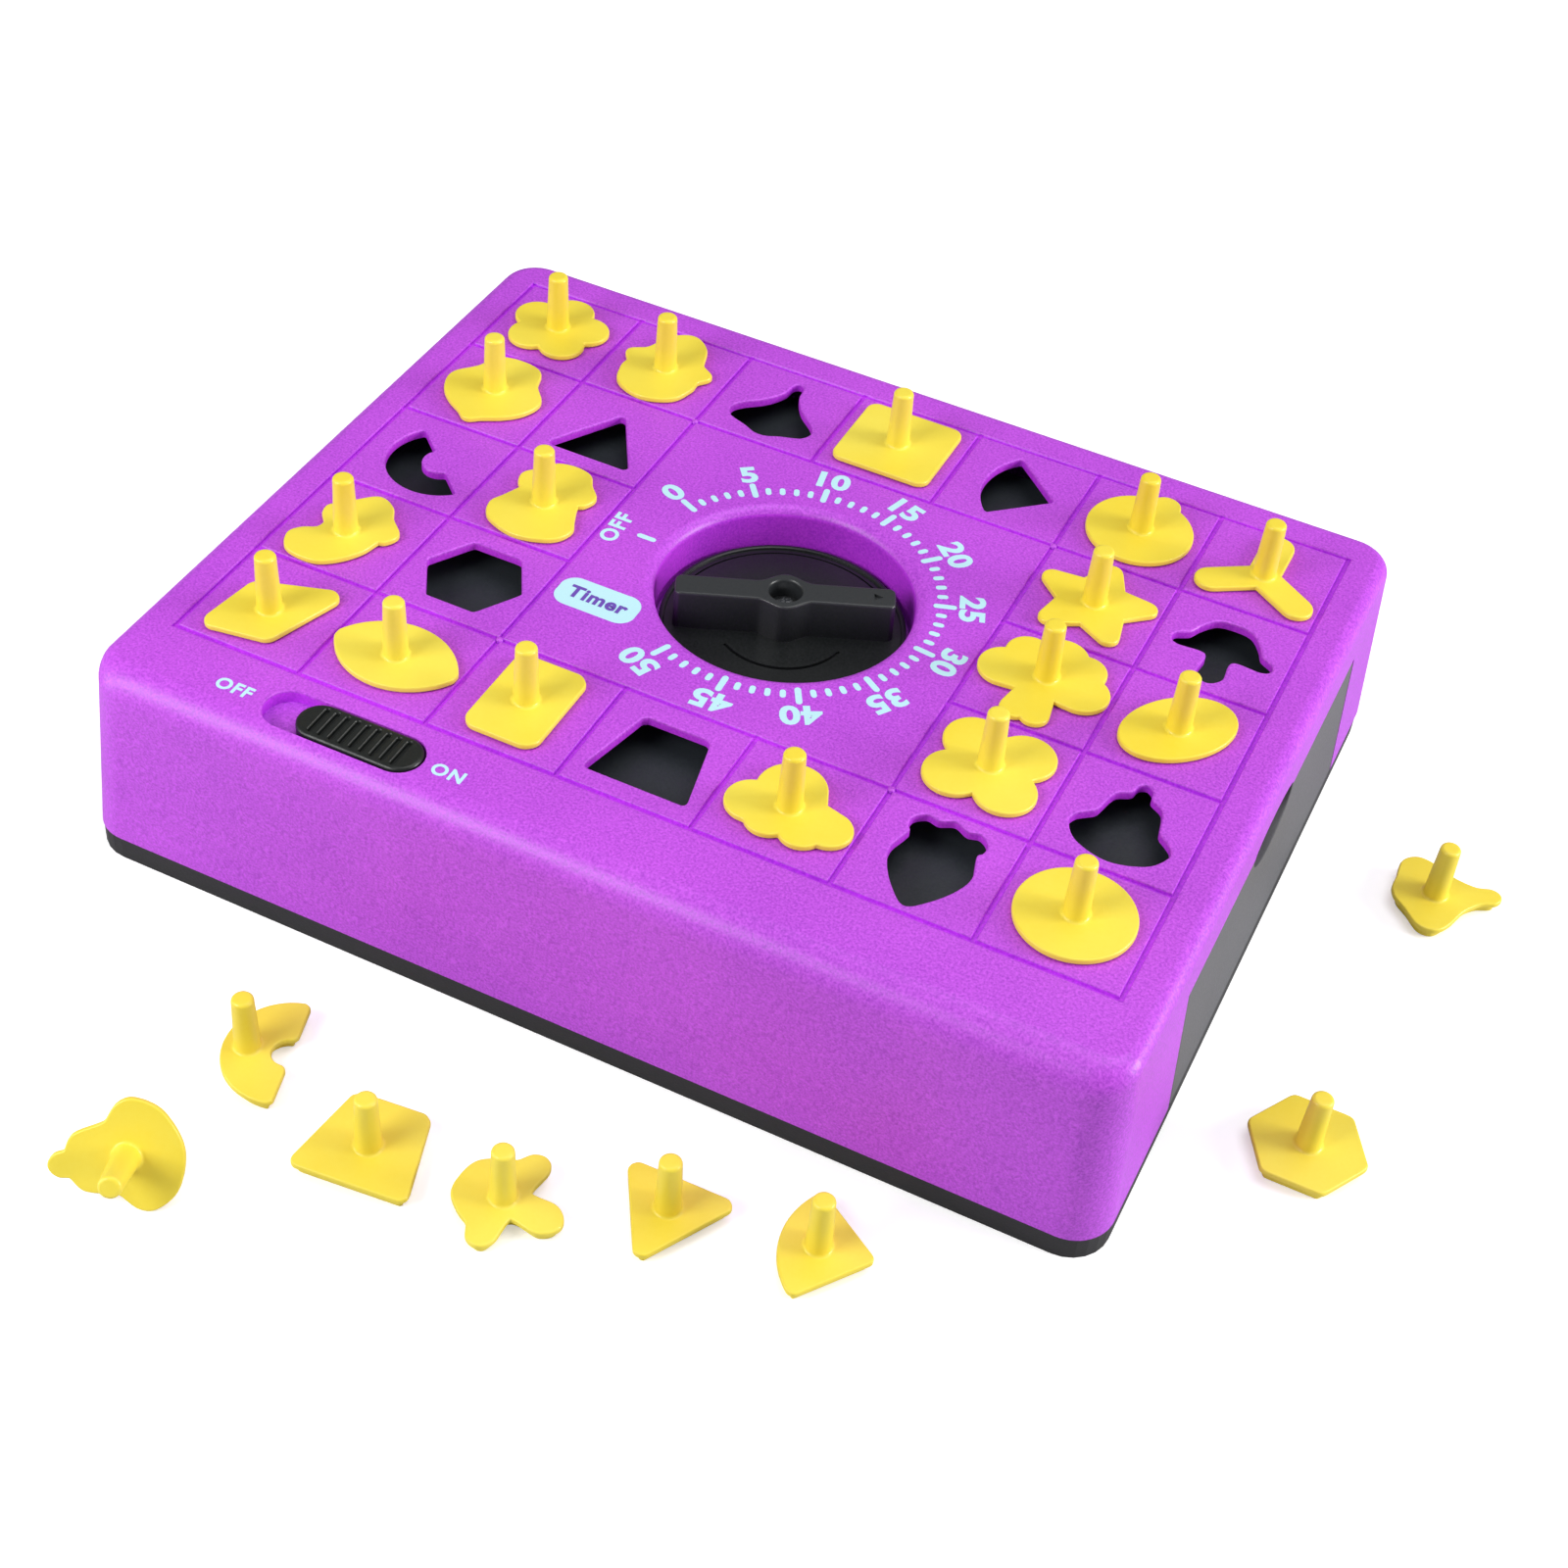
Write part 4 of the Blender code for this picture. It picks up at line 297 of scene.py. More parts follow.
def lobed(centre, lobes):
    """Union of round-ended arms from the centre, as a curve round it."""
    c = np.array(centre, float)
    angles = np.radians(np.arange(0, 360, 1.5))
    rays = np.stack([np.cos(angles), np.sin(angles)], axis=1)
    reach = np.zeros(len(angles))
    for x, y, radius in lobes:
        for share in np.linspace(0, 1, 25):
            d = (np.array([x, y]) - c) * share
            along = rays @ d
            side = rays[:, 0] * d[1] - rays[:, 1] * d[0]
            hit = radius ** 2 - side ** 2
            reach = np.maximum(reach, np.where(hit > 0, along + np.sqrt(np.maximum(hit, 0)), 0))
    return c + rays * reach[:, None]


def curved(points):
    """Closed curve through the points."""
    p = np.asarray(points, float)
    found = []
    for i in range(len(p)):
        a, b, c, d = p[i - 1], p[i], p[(i + 1) % len(p)], p[(i + 2) % len(p)]
        for k in range(SLICES):
            t = k / SLICES
            found.append((2 * b + (c - a) * t + (2 * a - 5 * b + 4 * c - d) * t ** 2
                          + (3 * b - a - 3 * c + d) * t ** 3) / 2)
    return np.array(found)


def mirrored(half):
    return [(-x, y) for x, y in half] + [(x, y) for x, y in half[-2:0:-1]]


def arc(centre, radius, start, end, count):
    return [(centre[0] + radius * math.cos(math.radians(start + (end - start) * k / count)),
             centre[1] + radius * math.sin(math.radians(start + (end - start) * k / count)))
            for k in range(count + 1)]


def circle(radius, sides=48, centre=(0, 0)):
    return arc(centre, radius, 0, 360, sides)[:-1]


def rectangle(x0, x1, y0, y1):
    return [(x0, y0), (x1, y0), (x1, y1), (x0, y1)]


def stadium(length, width, centre, sides=16):
    x, y = centre
    half = (length - width) / 2
    return (arc((x + half, y), width / 2, -90, 90, sides) + arc((x - half, y), width / 2, 90, 270, sides))


def turned(outline, degrees, at=(0, 0)):
    cos, sin = math.cos(math.radians(degrees)), math.sin(math.radians(degrees))
    return [(at[0] + x * cos - y * sin, at[1] + x * sin + y * cos) for x, y in outline]


def shifted(outline, by):
    return [(x + by[0], y + by[1]) for x, y in outline]


def shape_shares(name):
    if name in LOBES:
        return lobed(*LOBES[name])
    if name in POLYGONS:
        return densified(POLYGONS[name][1], 0.02)
    if name == "gourd":
        return curved(mirrored(HALVES[name])) + np.array([GOURD_SHIFT, 0])
    if name in HALVES:
        return curved(mirrored(HALVES[name]))
    if name == "eggplant":
        return curved(EGGPLANT)[::-1]
    if name == "sector":
        apex = (SECTOR_APEX, 0)
        rim = arc(apex, SECTOR_RADIUS, 180 - SECTOR_HALF_ANGLE, 180 + SECTOR_HALF_ANGLE, 36)
        return densified([apex] + rim, 0.02)
    if name == "half_ring":
        outer = arc(RING_CENTRE, RING_RADIUS, RING_CHORD - 180, RING_CHORD, 60)
        inner = arc(RING_CENTRE, RING_NOTCH, RING_CHORD, RING_CHORD - 180, 28)
        return densified(outer + inner, 0.02)
    if name == "lens":
        w, h = LENS_HALF_WIDTH, LENS_HALF_HEIGHT
        radius = (w * w + h * h) / (2 * h)
        spread = math.degrees(math.asin(w / radius))
        low = arc((0, LENS_Y + radius - h), radius, 270 - spread, 270 + spread, 40)
        high = arc((0, LENS_Y - radius + h), radius, 90 - spread, 90 + spread, 40)
        return low[:-1] + high[:-1]
    ellipse = [(EGG_LONG * math.cos(a), EGG_SHORT * math.sin(a)) for a in np.radians(np.arange(0, 360, 3))]
    return turned(ellipse, EGG_TURN)


def shape_outline(name):
    """Dense outline of a named shape's hole, in millimetres from the cell's centre."""
    points = np.asarray(shape_shares(name), float) * CELL
    if signed_area(points) < 0:
        points = points[::-1]
    return rounded(points, POLYGONS[name][0] * CELL if name in POLYGONS else 0.4)


def cell_centre(name):
    row, column = CELLS[name]
    return ((column - 3) * CELL, (2 - row) * CELL)


# Meshes


def inside(point, loop):
    x, y = point
    found = False
    for (x0, y0), (x1, y1) in zip(loop, list(loop[1:]) + list(loop[:1])):
        if (y0 > y) != (y1 > y) and x < x0 + (x1 - x0) * (y - y0) / (y1 - y0):
            found = not found
    return found


def fill(loops):
    """Triangles between an outer loop and any loops inside it."""
    flat = [Vector(point) for loop in loops for point in loop]
    edges = []
    start = 0
    for loop in loops:
        count = len(loop)
        edges += [(start + i, start + (i + 1) % count) for i in range(count)]
        start += count
    found = delaunay_2d_cdt(flat, edges, [], 1, FINE / 100)
    faces = []
    for face in found[2]:
        a, b, c = (found[3][i][0] for i in face)
        middle = (flat[a] + flat[b] + flat[c]) / 3
        if any(inside(middle, loop) for loop in loops[1:]) or not inside(middle, loops[0]):
            continue
        turn = (flat[b] - flat[a]).cross(flat[c] - flat[a])
        faces.append((a, b, c) if turn > 0 else (a, c, b))
    return faces


def stack(levels):
    """Closed surface of outlines at rising heights."""
    verts, faces = [], []

    def ring(outline, z):
        start = len(verts)
        verts.extend((x, y, z) for x, y in outline)
        return list(range(start, start + len(outline)))

    def cap(rings, up):
        flat = [i for one in rings for i in one]
        for a, b, c in fill([[verts[i][:2] for i in one] for one in rings]):
            faces.append((flat[a], flat[b], flat[c]) if up else (flat[a], flat[c], flat[b]))

    def side(low, high):
        for i in range(len(low)):
            j = (i + 1) % len(low)
            faces.append((low[i], low[j], high[j], high[i]))

    rings = [ring(outline, z) for outline, z in levels]
    cap([rings[0]], False)
    cap([rings[-1]], True)
    for k in range(len(levels) - 1):
        low, high = rings[k], rings[k + 1]
        if len(low) == len(high):
            side(low, high)
        elif signed_area(levels[k][0]) > signed_area(levels[k + 1][0]):
            cap([low, high], True)
        else:
            cap([high, low], False)
    return verts, faces


def joined(solids):
    verts, faces = [], []
    for more_verts, more_faces in solids:
        start = len(verts)
        verts += more_verts
        faces += [tuple(i + start for i in face) for face in more_faces]
    return verts, faces


def block(x0, x1, y0, y1, z0, z1):
    outline = rectangle(x0, x1, y0, y1)
    return stack([(outline, z0), (outline, z1)])


def column(radius, z0, z1, centre=(0, 0), sides=32):
    outline = circle(radius, sides, centre)
    return stack([(outline, z0), (outline, z1)])


def rounded_edge(outline_at, radius, height, angles):
    """Levels of an edge that curves up to the height; outline_at gives the outline at a distance in."""
    return [(outline_at(radius * (1 - math.cos(a))), height - radius + radius * math.sin(a))
            for a in np.radians(angles)]


def along_x(outline, x0, x1):
    verts, faces = stack([(outline, x0), (outline, x1)])
    return [(x, y, z) for y, z, x in verts], faces


def mesh_object(name, solid, matrix=None):
    """Object from points in millimetres."""
    verts, faces = solid
    points = [(matrix @ Vector(v) if matrix else Vector(v)) * MM for v in verts]
    mesh = bpy.data.meshes.new(name)
    mesh.from_pydata(points, [], faces)
    mesh.validate()
    made = bpy.data.objects.new(name, mesh)
    bpy.context.scene.collection.objects.link(made)
    return made


def combine(target, tool, operation):
    """Applies the tool, whose faces bring the tool's own materials, and removes it."""
    modifier = target.modifiers.new(operation, "BOOLEAN")
    modifier.solver = "EXACT"
    modifier.material_mode = "TRANSFER" if tool.data.materials else "INDEX"
    modifier.operation = operation
    modifier.object = tool
    bpy.context.view_layer.update()
    mesh = bpy.data.meshes.new_from_object(target.evaluated_get(bpy.context.evaluated_depsgraph_get()))
    target.modifiers.remove(modifier)
    target.data = mesh
    bpy.data.objects.remove(tool, do_unlink=True)


def soften(obj, angle=32):
    """Smooth shading that keeps flat faces flat."""
    obj.data.shade_smooth()
    obj.data.set_sharp_from_angle(angle=math.radians(angle))
    modifier = obj.modifiers.new("even_normals", "WEIGHTED_NORMAL")
    modifier.keep_sharp = True
    return obj


def finished(obj, body, material, replaced=()):
    if not obj.data.materials:
        obj.data.materials.append(material)
    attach(obj, body)
    if replaced:
        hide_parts(*replaced)
    return obj


# Materials


class Value:
    """A shader output that takes part in sums as a number does."""

    def __init__(self, finish, socket):
        self.finish, self.socket = finish, socket

    def sum(self, operation, first, second):
        return self.finish.node("ShaderNodeMath", {"operation": operation}, {0: first, 1: second})

    def __add__(self, other):
        return self.sum("ADD", self, other)

    def __radd__(self, other):
        return self.sum("ADD", other, self)

    def __sub__(self, other):
        return self.sum("SUBTRACT", self, other)

    def __rsub__(self, other):
        return self.sum("SUBTRACT", other, self)

    def __mul__(self, other):
        return self.sum("MULTIPLY", self, other)

    def __rmul__(self, other):
        return self.sum("MULTIPLY", other, self)


def linear(red, green, blue):
    """A colour given from 0 to 255 as the eye sees it, for the shader."""
    def one(value):
        share = value / 255
        return share / 12.92 if share <= 0.04045 else ((share + 0.055) / 1.055) ** 2.4
    return (one(red), one(green), one(blue), 1)


class Finish:
    """A material and the nodes that vary it."""

    def __init__(self, name, roughness=0.5, metallic=0.0, coat=0.0):
        self.material = bpy.data.materials.new(name)
        self.material.use_nodes = True
        self.tree = self.material.node_tree
        self.shader = self.tree.nodes["Principled BSDF"]
        self.shader.inputs["Roughness"].default_value = roughness
        self.shader.inputs["Metallic"].default_value = metallic
        self.shader.inputs["Coat Weight"].default_value = coat

    def node(self, kind, settings=None, inputs=None, output=0):
        made = self.tree.nodes.new(kind)
        for key, value in (settings or {}).items():
            setattr(made, key, value)
        for key, value in (inputs or {}).items():
            self.feed(made.inputs[key], value)
        return Value(self, made.outputs[output])

    def feed(self, socket, value):
        if isinstance(value, Value):
            self.tree.links.new(value.socket, socket)
        else:
            socket.default_value = value

    def place(self):
        return self.node("ShaderNodeTexCoord", output="Object")

    def noise(self, size_mm, detail=2.0, roughness=0.5, stretch=(1, 1, 1)):
        """Noise with features of a size in millimetres, from 0 to 1."""
        where = self.node("ShaderNodeMapping", {}, {"Vector": self.place(), "Scale": stretch})
        return self.node("ShaderNodeTexNoise", {"noise_dimensions": "3D"},
                         {"Vector": where, "Scale": 1 / (size_mm * MM), "Detail": detail,
                          "Roughness": roughness}, "Fac")

    def blend(self, share, first, second):
        return self.node("ShaderNodeMix", {"data_type": "RGBA"}, {0: share, 6: first, 7: second}, 2)

    def stretched(self, value, low, high):
        """The value's range from low to high stretched over 0 to 1."""
        return self.node("ShaderNodeMapRange", {}, {"Value": value, "From Min": low, "From Max": high})

    def colour(self, value):
        self.feed(self.shader.inputs["Base Color"], value)

    def roughness(self, value):
        self.feed(self.shader.inputs["Roughness"], value)

    def bump(self, height, strength, depth_mm):
        relief = self.node("ShaderNodeBump", {}, {"Height": height, "Strength": strength,
                                                  "Distance": depth_mm * MM}, "Normal")
        self.feed(self.shader.inputs["Normal"], relief)


def moulded(name, tone, shade, roughness, grain_mm, grain, coat=0.0, speck=0.25):
    """Moulded plastic: slow drift between two tones, fine speckled grain and uneven gloss."""
    finish = Finish(name, roughness, 0.0, coat)
    drift = finish.stretched(finish.noise(38.0, 3.0), 0.32, 0.68)
    fine = finish.stretched(finish.noise(grain_mm, 2.0, 0.6), 0.3, 0.7)
    finish.colour(finish.blend(drift * (1 - speck) + fine * speck, linear(*shade), linear(*tone)))
    finish.roughness(roughness - 0.05 + 0.10 * fine)
    finish.bump(fine, grain, 0.05)
    return finish.material


def metal(name, tone, shade, roughness, stretch):
    """Turned or stamped metal with drawn lines."""
    finish = Finish(name, roughness, 1.0)
    lines = finish.noise(0.5, 3.0, 0.6, stretch)
    stain = finish.stretched(finish.noise(6.0, 3.0), 0.3, 0.7)
    finish.colour(finish.blend(stain, linear(*shade), linear(*tone)))
    finish.roughness(roughness - 0.08 + 0.2 * lines)
    finish.bump(lines, 0.25, 0.03)
    return finish.material


def dial_finish():
    """Black plastic painted darker down on the disc and paler towards the grip's crown: painted shade of the
    recess and painted light on the crown.
    """
    finish = Finish("dial_plastic", 0.34)
    fine = finish.stretched(finish.noise(0.5, 2.0, 0.6), 0.3, 0.7)
    height = finish.node("ShaderNodeSeparateXYZ", {}, {"Vector": finish.place()}, "Z")
    # Painted shade and light: the tone rises with height from the disc to the crown
    crown = finish.stretched(height, (TOP - KNOB_DEPTH) * MM, TOP * MM)
    finish.colour(finish.blend(crown * 0.8 + fine * 0.2, linear(20, 23, 23), linear(50, 52, 55)))
    finish.roughness(0.30 + 0.12 * fine)
    finish.bump(fine, 0.2, 0.05)
    return finish.material


PURPLE = moulded("purple_plastic", (216, 94, 246), (162, 57, 201), 0.40, 0.55, 0.5, speck=0.8)
# Painted shade: a deeper copy of the purple for walls of holes, slot, recess and grooves
PAINTED_SHADE_PURPLE = moulded("purple_plastic_in_shade", (220, 68, 252), (165, 40, 213), 0.44, 0.55, 0.5, speck=0.6)
YELLOW = moulded("yellow_plastic", (250, 231, 86), (245, 219, 58), 0.38, 0.9, 0.12, 0.1, 0.15)
BLACK = moulded("black_plastic", (52, 58, 62), (42, 47, 51), 0.40, 0.5, 0.25, speck=0.6)
SWITCH_BLACK = moulded("switch_plastic", (24, 28, 27), (16, 19, 18), 0.38, 0.6, 0.35, speck=0.7)
DIAL_BLACK = dial_finish()
BASE_BLACK = moulded("base_black_plastic", (42, 42, 44), (33, 33, 35), 0.52, 0.45, 0.4, speck=0.6)
GREY = moulded("grey_plastic", (100, 100, 104), (89, 89, 93), 0.46, 0.55, 0.4, speck=0.6)
PRINT = moulded("pale_blue_print", (198, 241, 250), (188, 235, 246), 0.55, 0.5, 0.10)
WORD = moulded("purple_print", (112, 76, 184), (102, 68, 174), 0.55, 0.5, 0.10)
STEEL = metal("bright_steel", (205, 206, 210), (176, 178, 184), 0.26, (1, 1, 12))
BRASS = metal("stamped_brass", (214, 180, 104), (190, 152, 80), 0.32, (1, 10, 1))


# Housing


def wall_x(z):
    return FOOT_HALF_WIDTH + (TOP_HALF_WIDTH - FOOT_HALF_WIDTH) * (z - BAND_TOP) / (TOP - BAND_TOP)


def wall_ring(z, inset, radius, steps):
    """Rounded rectangle of the walls at a height, with each point's outward direction."""
    rise = (z - BAND_TOP) / (TOP - BAND_TOP)
    x = wall_x(z) - inset
    front = -(FOOT_FRONT + (TOP_FRONT - FOOT_FRONT) * rise) + inset
    back = FOOT_BACK + (TOP_BACK - FOOT_BACK) * rise - inset
    corners = [(x - radius, back - radius, 0), (-x + radius, back - radius, 90),
               (-x + radius, front + radius, 180), (x - radius, front + radius, 270)]
    points = []
    for cx, cy, start in corners:
        for k in range(steps + 1):
            angle = math.radians(start + 90 * k / steps)
            out = (math.cos(angle), math.sin(angle))
            points.append((cx + radius * out[0], cy + radius * out[1], out))
    return points


def shell(inset, z0, z1):
    """Drafted body with filleted top edge, larger along the front."""
    radius = CORNER_RADIUS - inset
    steps, rows = 14, 10
    foot = wall_ring(z0, inset, radius, steps)
    verts = [(x, y, z0) for x, y, _ in foot]
    count = len(foot)
    for row in range(rows + 1):
        bend = math.radians(90 * row / rows)
        for index, (_, _, out) in enumerate(foot):
            forward = max(0.0, -out[1])
            fillet = EDGE_FILLET + (FRONT_FILLET - EDGE_FILLET) * forward - inset / 2
            low = z1 - fillet
            x, y, _ = wall_ring(low, inset, radius, steps)[index]
            pull = fillet * (1 - math.cos(bend))
            verts.append((x - pull * out[0], y - pull * out[1], low + fillet * math.sin(bend)))
    faces = []
    for row in range(rows + 1):
        for i in range(count):
            j = (i + 1) % count
            a = row * count
            faces.append((a + i, a + j, a + count + j, a + count + i))
    faces.append(tuple(range(count - 1, -1, -1)))
    last = (rows + 1) * count
    faces.append(tuple(range(last, last + count)))
    return verts, faces


def panel_outline(grow):
    low, high = PANEL_FRONT - grow, PANEL_BACK + grow
    rise = [(NOTCH_Y + (NOTCH_HALF_WIDTH + grow) * math.cos(math.radians(a)),
             PANEL_TOP + grow + (NOTCH_BULGE + grow) * math.sin(math.radians(a))) for a in range(0, 181, 9)]
    return [(low, BAND_TOP - WALL), (high, BAND_TOP - WALL), (high, PANEL_TOP + grow)] + rise + [
        (low, PANEL_TOP + grow)]


def hole_cutter(name):
    """Cutter of a shape's hole with an eased rim."""
    dense = shape_outline(name)
    at = cell_centre(name)
    straight = shifted(simplified(dense, TOLERANCE), at)
    levels = [(straight, TOP - 2 * TOP_WALL), (straight, TOP - HOLE_RIM)]
    levels += rounded_edge(lambda out: shifted(simplified(grown(dense, out), TOLERANCE), at), HOLE_RIM, TOP,
                           (40, 65, 90))
    levels.append((levels[-1][0], TOP + WALL))
    return stack(levels)


def groove(a, b):
    """Cutter of one engraved line from a to b, along X or Y."""
    wide, deep = GROOVE_HALF_WIDTH, GROOVE_DEEP
    length = math.dist(a, b) + 2 * wide
    centre = ((a[0] + b[0]) / 2, (a[1] + b[1]) / 2)
    half = [(wide * 0.8, -deep), (wide, -deep * 0.25), (wide * 1.3, 0), (wide * 1.3, 0.4)]
    section = half + [(-u, v) for u, v in reversed(half)]
    verts, faces = stack([(section, -length / 2), (section, length / 2)])
    if abs(a[0] - b[0]) < FINE:
        placed = [(centre[0] + u, centre[1] - w, TOP + v) for u, v, w in verts]
    else:
        placed = [(centre[0] + w, centre[1] + u, TOP + v) for u, v, w in verts]
    return placed, faces


def cutter(name, solid, depth, steepest=0.5):
    """Cutter that leaves the deeper purple on walls below the depth: painted shade for the shade that falls
    between them.
    """
    made = mesh_object(name, solid)
    made.data.materials.append(PURPLE)
    made.data.materials.append(PAINTED_SHADE_PURPLE)
    for face in made.data.polygons:
        face.material_index = int(face.center.z < (TOP - depth) * MM and abs(face.normal.z) <= steepest)
    return made


def housing():
    part = mesh_object("housing_shell", shell(0, BAND_TOP, TOP))
    part.data.materials.append(PURPLE)
    cavity = mesh_object("cavity", shell(WALL, BAND_TOP - WALL, TOP - TOP_WALL))
    x, y = SWITCH
    kept = [column(RECESS_RADIUS + CUP_WALL, TOP - RECESS_DEPTH - CUP_WALL, TOP, sides=64),
            block(x - SLOT_LENGTH / 2 - 2, x + SLOT_LENGTH / 2 + 2, y - SLOT_WIDTH / 2 - 6,
                  y + SLOT_WIDTH / 2 + 1, TOP - SLOT_DEPTH - 1.5, TOP)]
    kept += [column(POST_RADIUS, BAND_TOP, TOP, post, 24) for post in POSTS]
    combine(cavity, mesh_object("kept", joined(kept)), "DIFFERENCE")
    combine(part, cavity, "DIFFERENCE")
    floor = TOP - RECESS_DEPTH
    lip = [(circle(SHAFT_RADIUS + 0.6, 96), floor - 4), (circle(SHAFT_RADIUS + 0.6, 96), floor),
           (circle(RECESS_RADIUS, 96), floor), (circle(RECESS_RADIUS, 96), TOP - RECESS_LIP_DEPTH)]
    for k in range(1, 9):
        bend = math.radians(90 * k / 8)
        lip.append((circle(RECESS_RADIUS + (RECESS_LIP_RADIUS - RECESS_RADIUS) * (1 - math.cos(bend)), 96),
                    TOP - RECESS_LIP_DEPTH * (1 - math.sin(bend))))
    lip.append((circle(RECESS_LIP_RADIUS, 96), TOP + WALL))
    slot = stadium(SLOT_LENGTH, SLOT_WIDTH, SWITCH)
    passage = rectangle(x - 9.8, x + 2.3, y - 1.5, y + 1.5)
    slot_levels = [(passage, TOP - SLOT_DEPTH - 3), (passage, TOP - SLOT_DEPTH), (slot, TOP - SLOT_DEPTH),
                   (slot, TOP - 0.45), (eased(slot, 0.12), TOP - 0.16), (eased(slot, SLOT_RIM), TOP),
                   (eased(slot, SLOT_RIM), TOP + WALL)]
    cutters = [stack(lip), stack(slot_levels)] + [hole_cutter(name) for name in CELLS]
    # Walls of the recess, slot and holes below the shade depth get painted shade
    combine(part, cutter("cutters", joined(cutters), SHADE_DEPTH), "DIFFERENCE")
    half = CELL / 2
    sides = (-1, 1)
    upright = [groove((half * n, -half * 5), (half * n, half * 5)) for n in (-7, -5, -3, 3, 5, 7)]
    upright += [groove((half * n, s * half * 3), (half * n, s * half * 5)) for n in sides for s in sides]
    level = [groove((-half * 7, half * n), (half * 7, half * n)) for n in (-5, -3, 3, 5)]
    level += [groove((s * half * 3, half * n), (s * half * 7, half * n)) for n in sides for s in sides]
    # Groove walls and floors below the top get painted shade
    combine(part, cutter("upright_grooves", joined(upright), 0.1, 1.0), "DIFFERENCE")
    combine(part, cutter("level_grooves", joined(level), 0.1, 1.0), "DIFFERENCE")
    combine(part, mesh_object("drawer_opening", along_x(panel_outline(0), 105, 120)), "DIFFERENCE")
    finished(soften(part), "housing", PURPLE, ["top_housing"])
    pips = [stack([(circle(0.75, 16, (px, py)), TOP - 0.6), (circle(0.75, 16, (px, py)), TOP - 0.1),
                   (circle(0.55, 16, (px, py)), TOP + 0.12), (circle(0.2, 16, (px, py)), TOP + 0.2)])
            for px in (-45, 45) for py in (-45, 45)]
    finished(soften(mesh_object("corner_pips", joined(pips)), 60), "housing", PURPLE)


# Prints


def tick(angle, r0, r1, width):
    outline = stadium(r1 - r0, width, ((r0 + r1) / 2, 0), 6)
    return turned(outline, angle)


def lettering(name, words, material, height, thicken, spread, lift, widen=1.0):
    """Flat raised words: each is (text, place, turn in degrees)."""
    made = []
    for index, (text, place, turn) in enumerate(words):
        curve = bpy.data.curves.new(f"{name}_{index}", "FONT")
        curve.body = text
        curve.align_x = "CENTER"
        curve.align_y = "CENTER"
        curve.size = height * MM
        curve.offset = thicken * MM
        curve.space_character = spread
        curve.extrude = 0.03 * MM
        curve.resolution_u = 4
        letter = bpy.data.objects.new(f"{name}_{index}", curve)
        bpy.context.scene.collection.objects.link(letter)
        letter.location = (place[0] * MM, place[1] * MM, lift * MM)
        letter.rotation_euler = (0, 0, math.radians(turn))
        letter.scale = (widen, 1, 1)
        made.append(letter)
    bpy.context.view_layer.update()
    graph = bpy.context.evaluated_depsgraph_get()
    verts, faces = [], []
    for letter in made:
        mesh = bpy.data.meshes.new_from_object(letter.evaluated_get(graph))
        start = len(verts)
        verts += [letter.matrix_world @ v.co for v in mesh.vertices]
        faces += [tuple(start + i for i in face.vertices) for face in mesh.polygons]
        bpy.data.objects.remove(letter, do_unlink=True)
    mesh = bpy.data.meshes.new(name)
    mesh.from_pydata(verts, [], faces)
    joined_up = bpy.data.objects.new(name, mesh)
    bpy.context.scene.collection.objects.link(joined_up)
    return finished(joined_up, "housing", material)


def prints():
    """Scale, words and label, a little off the dial's centre as they are printed."""
    base, face = TOP - 0.05, TOP + 0.03
    marks = [tick(180, 31.8, 36.4, 1.35)]
    numbers = []
    for k in range(MARKS):
        angle = FIRST_MARK - MARK_STEP * k
        marks.append(tick(angle, 32.1, 37.3, 1.4))
        place = turned([(NUMBER_REACH, 0)], angle, PRINT_OFFSET)[0]
        numbers.append((str(5 * k), place, angle - 90))
        if k < MARKS - 1:
            marks += [tick(angle - MARK_STEP * m / 5, 32.9, 35.4, 1.3) for m in (1, 2, 3, 4)]
    marks = [shifted(mark, PRINT_OFFSET) for mark in marks]
    flat = [stack([(mark, base), (mark, face)]) for mark in marks]
    pill = rounded(densified(rectangle(-42.9, -23.9, -28.3, -18.9), 0.3), LABEL_RADIUS)
    flat.append(stack([(pill, base), (pill, face)]))
    finished(mesh_object("dial_marks", joined(flat)), "housing", PRINT)
    lettering("dial_numbers", numbers, PRINT, 7.5, 0.3, 1.06, TOP, widen=1.13)
    lettering("dial_off", [("OFF", (-41.7, 0.5), 90)], PRINT, 5.5, 0.18, 1.15, TOP)
    words = [("OFF", (-83.4, -85.2), 0), ("ON", (-33.3, -85.2), 0)]
    lettering("switch_words", words, PRINT, 4.4, 0.15, 1.15, TOP)
    lettering("timer_word", [("Timer", (-33.4, -23.6), 0)], WORD, 5.2, 0.18, 1.08, TOP + 0.05)


# Dial


def grip_outline():
    """Strip whose ends follow a circle about the dial's axis, with a smooth bulge round the hub."""
    ends = math.degrees(math.asin(GRIP_HALF_WIDTH / GRIP_REACH))
    straight = GRIP_REACH * math.cos(math.radians(ends))
    edge = []
    for along in np.linspace(-straight, straight, 97)[1:-1]:
        swell = (1 + math.cos(math.pi * min(1.0, abs(along) / 6.4))) / 2
        edge.append((along, GRIP_HALF_WIDTH + (HUB_RADIUS - GRIP_HALF_WIDTH) * swell))
    outline = arc((0, 0), GRIP_REACH, -ends, ends, 12) + edge[::-1]
    outline += arc((0, 0), GRIP_REACH, 180 - ends, 180 + ends, 12) + [(x, -y) for x, y in edge]
    return rounded(np.array(outline), 0.8)


def arc_band(radius, half_width, start, end):
    outer = arc((0, 0), radius + half_width, start, end, 40)
    return outer + arc((0, 0), radius - half_width, end, start, 40)


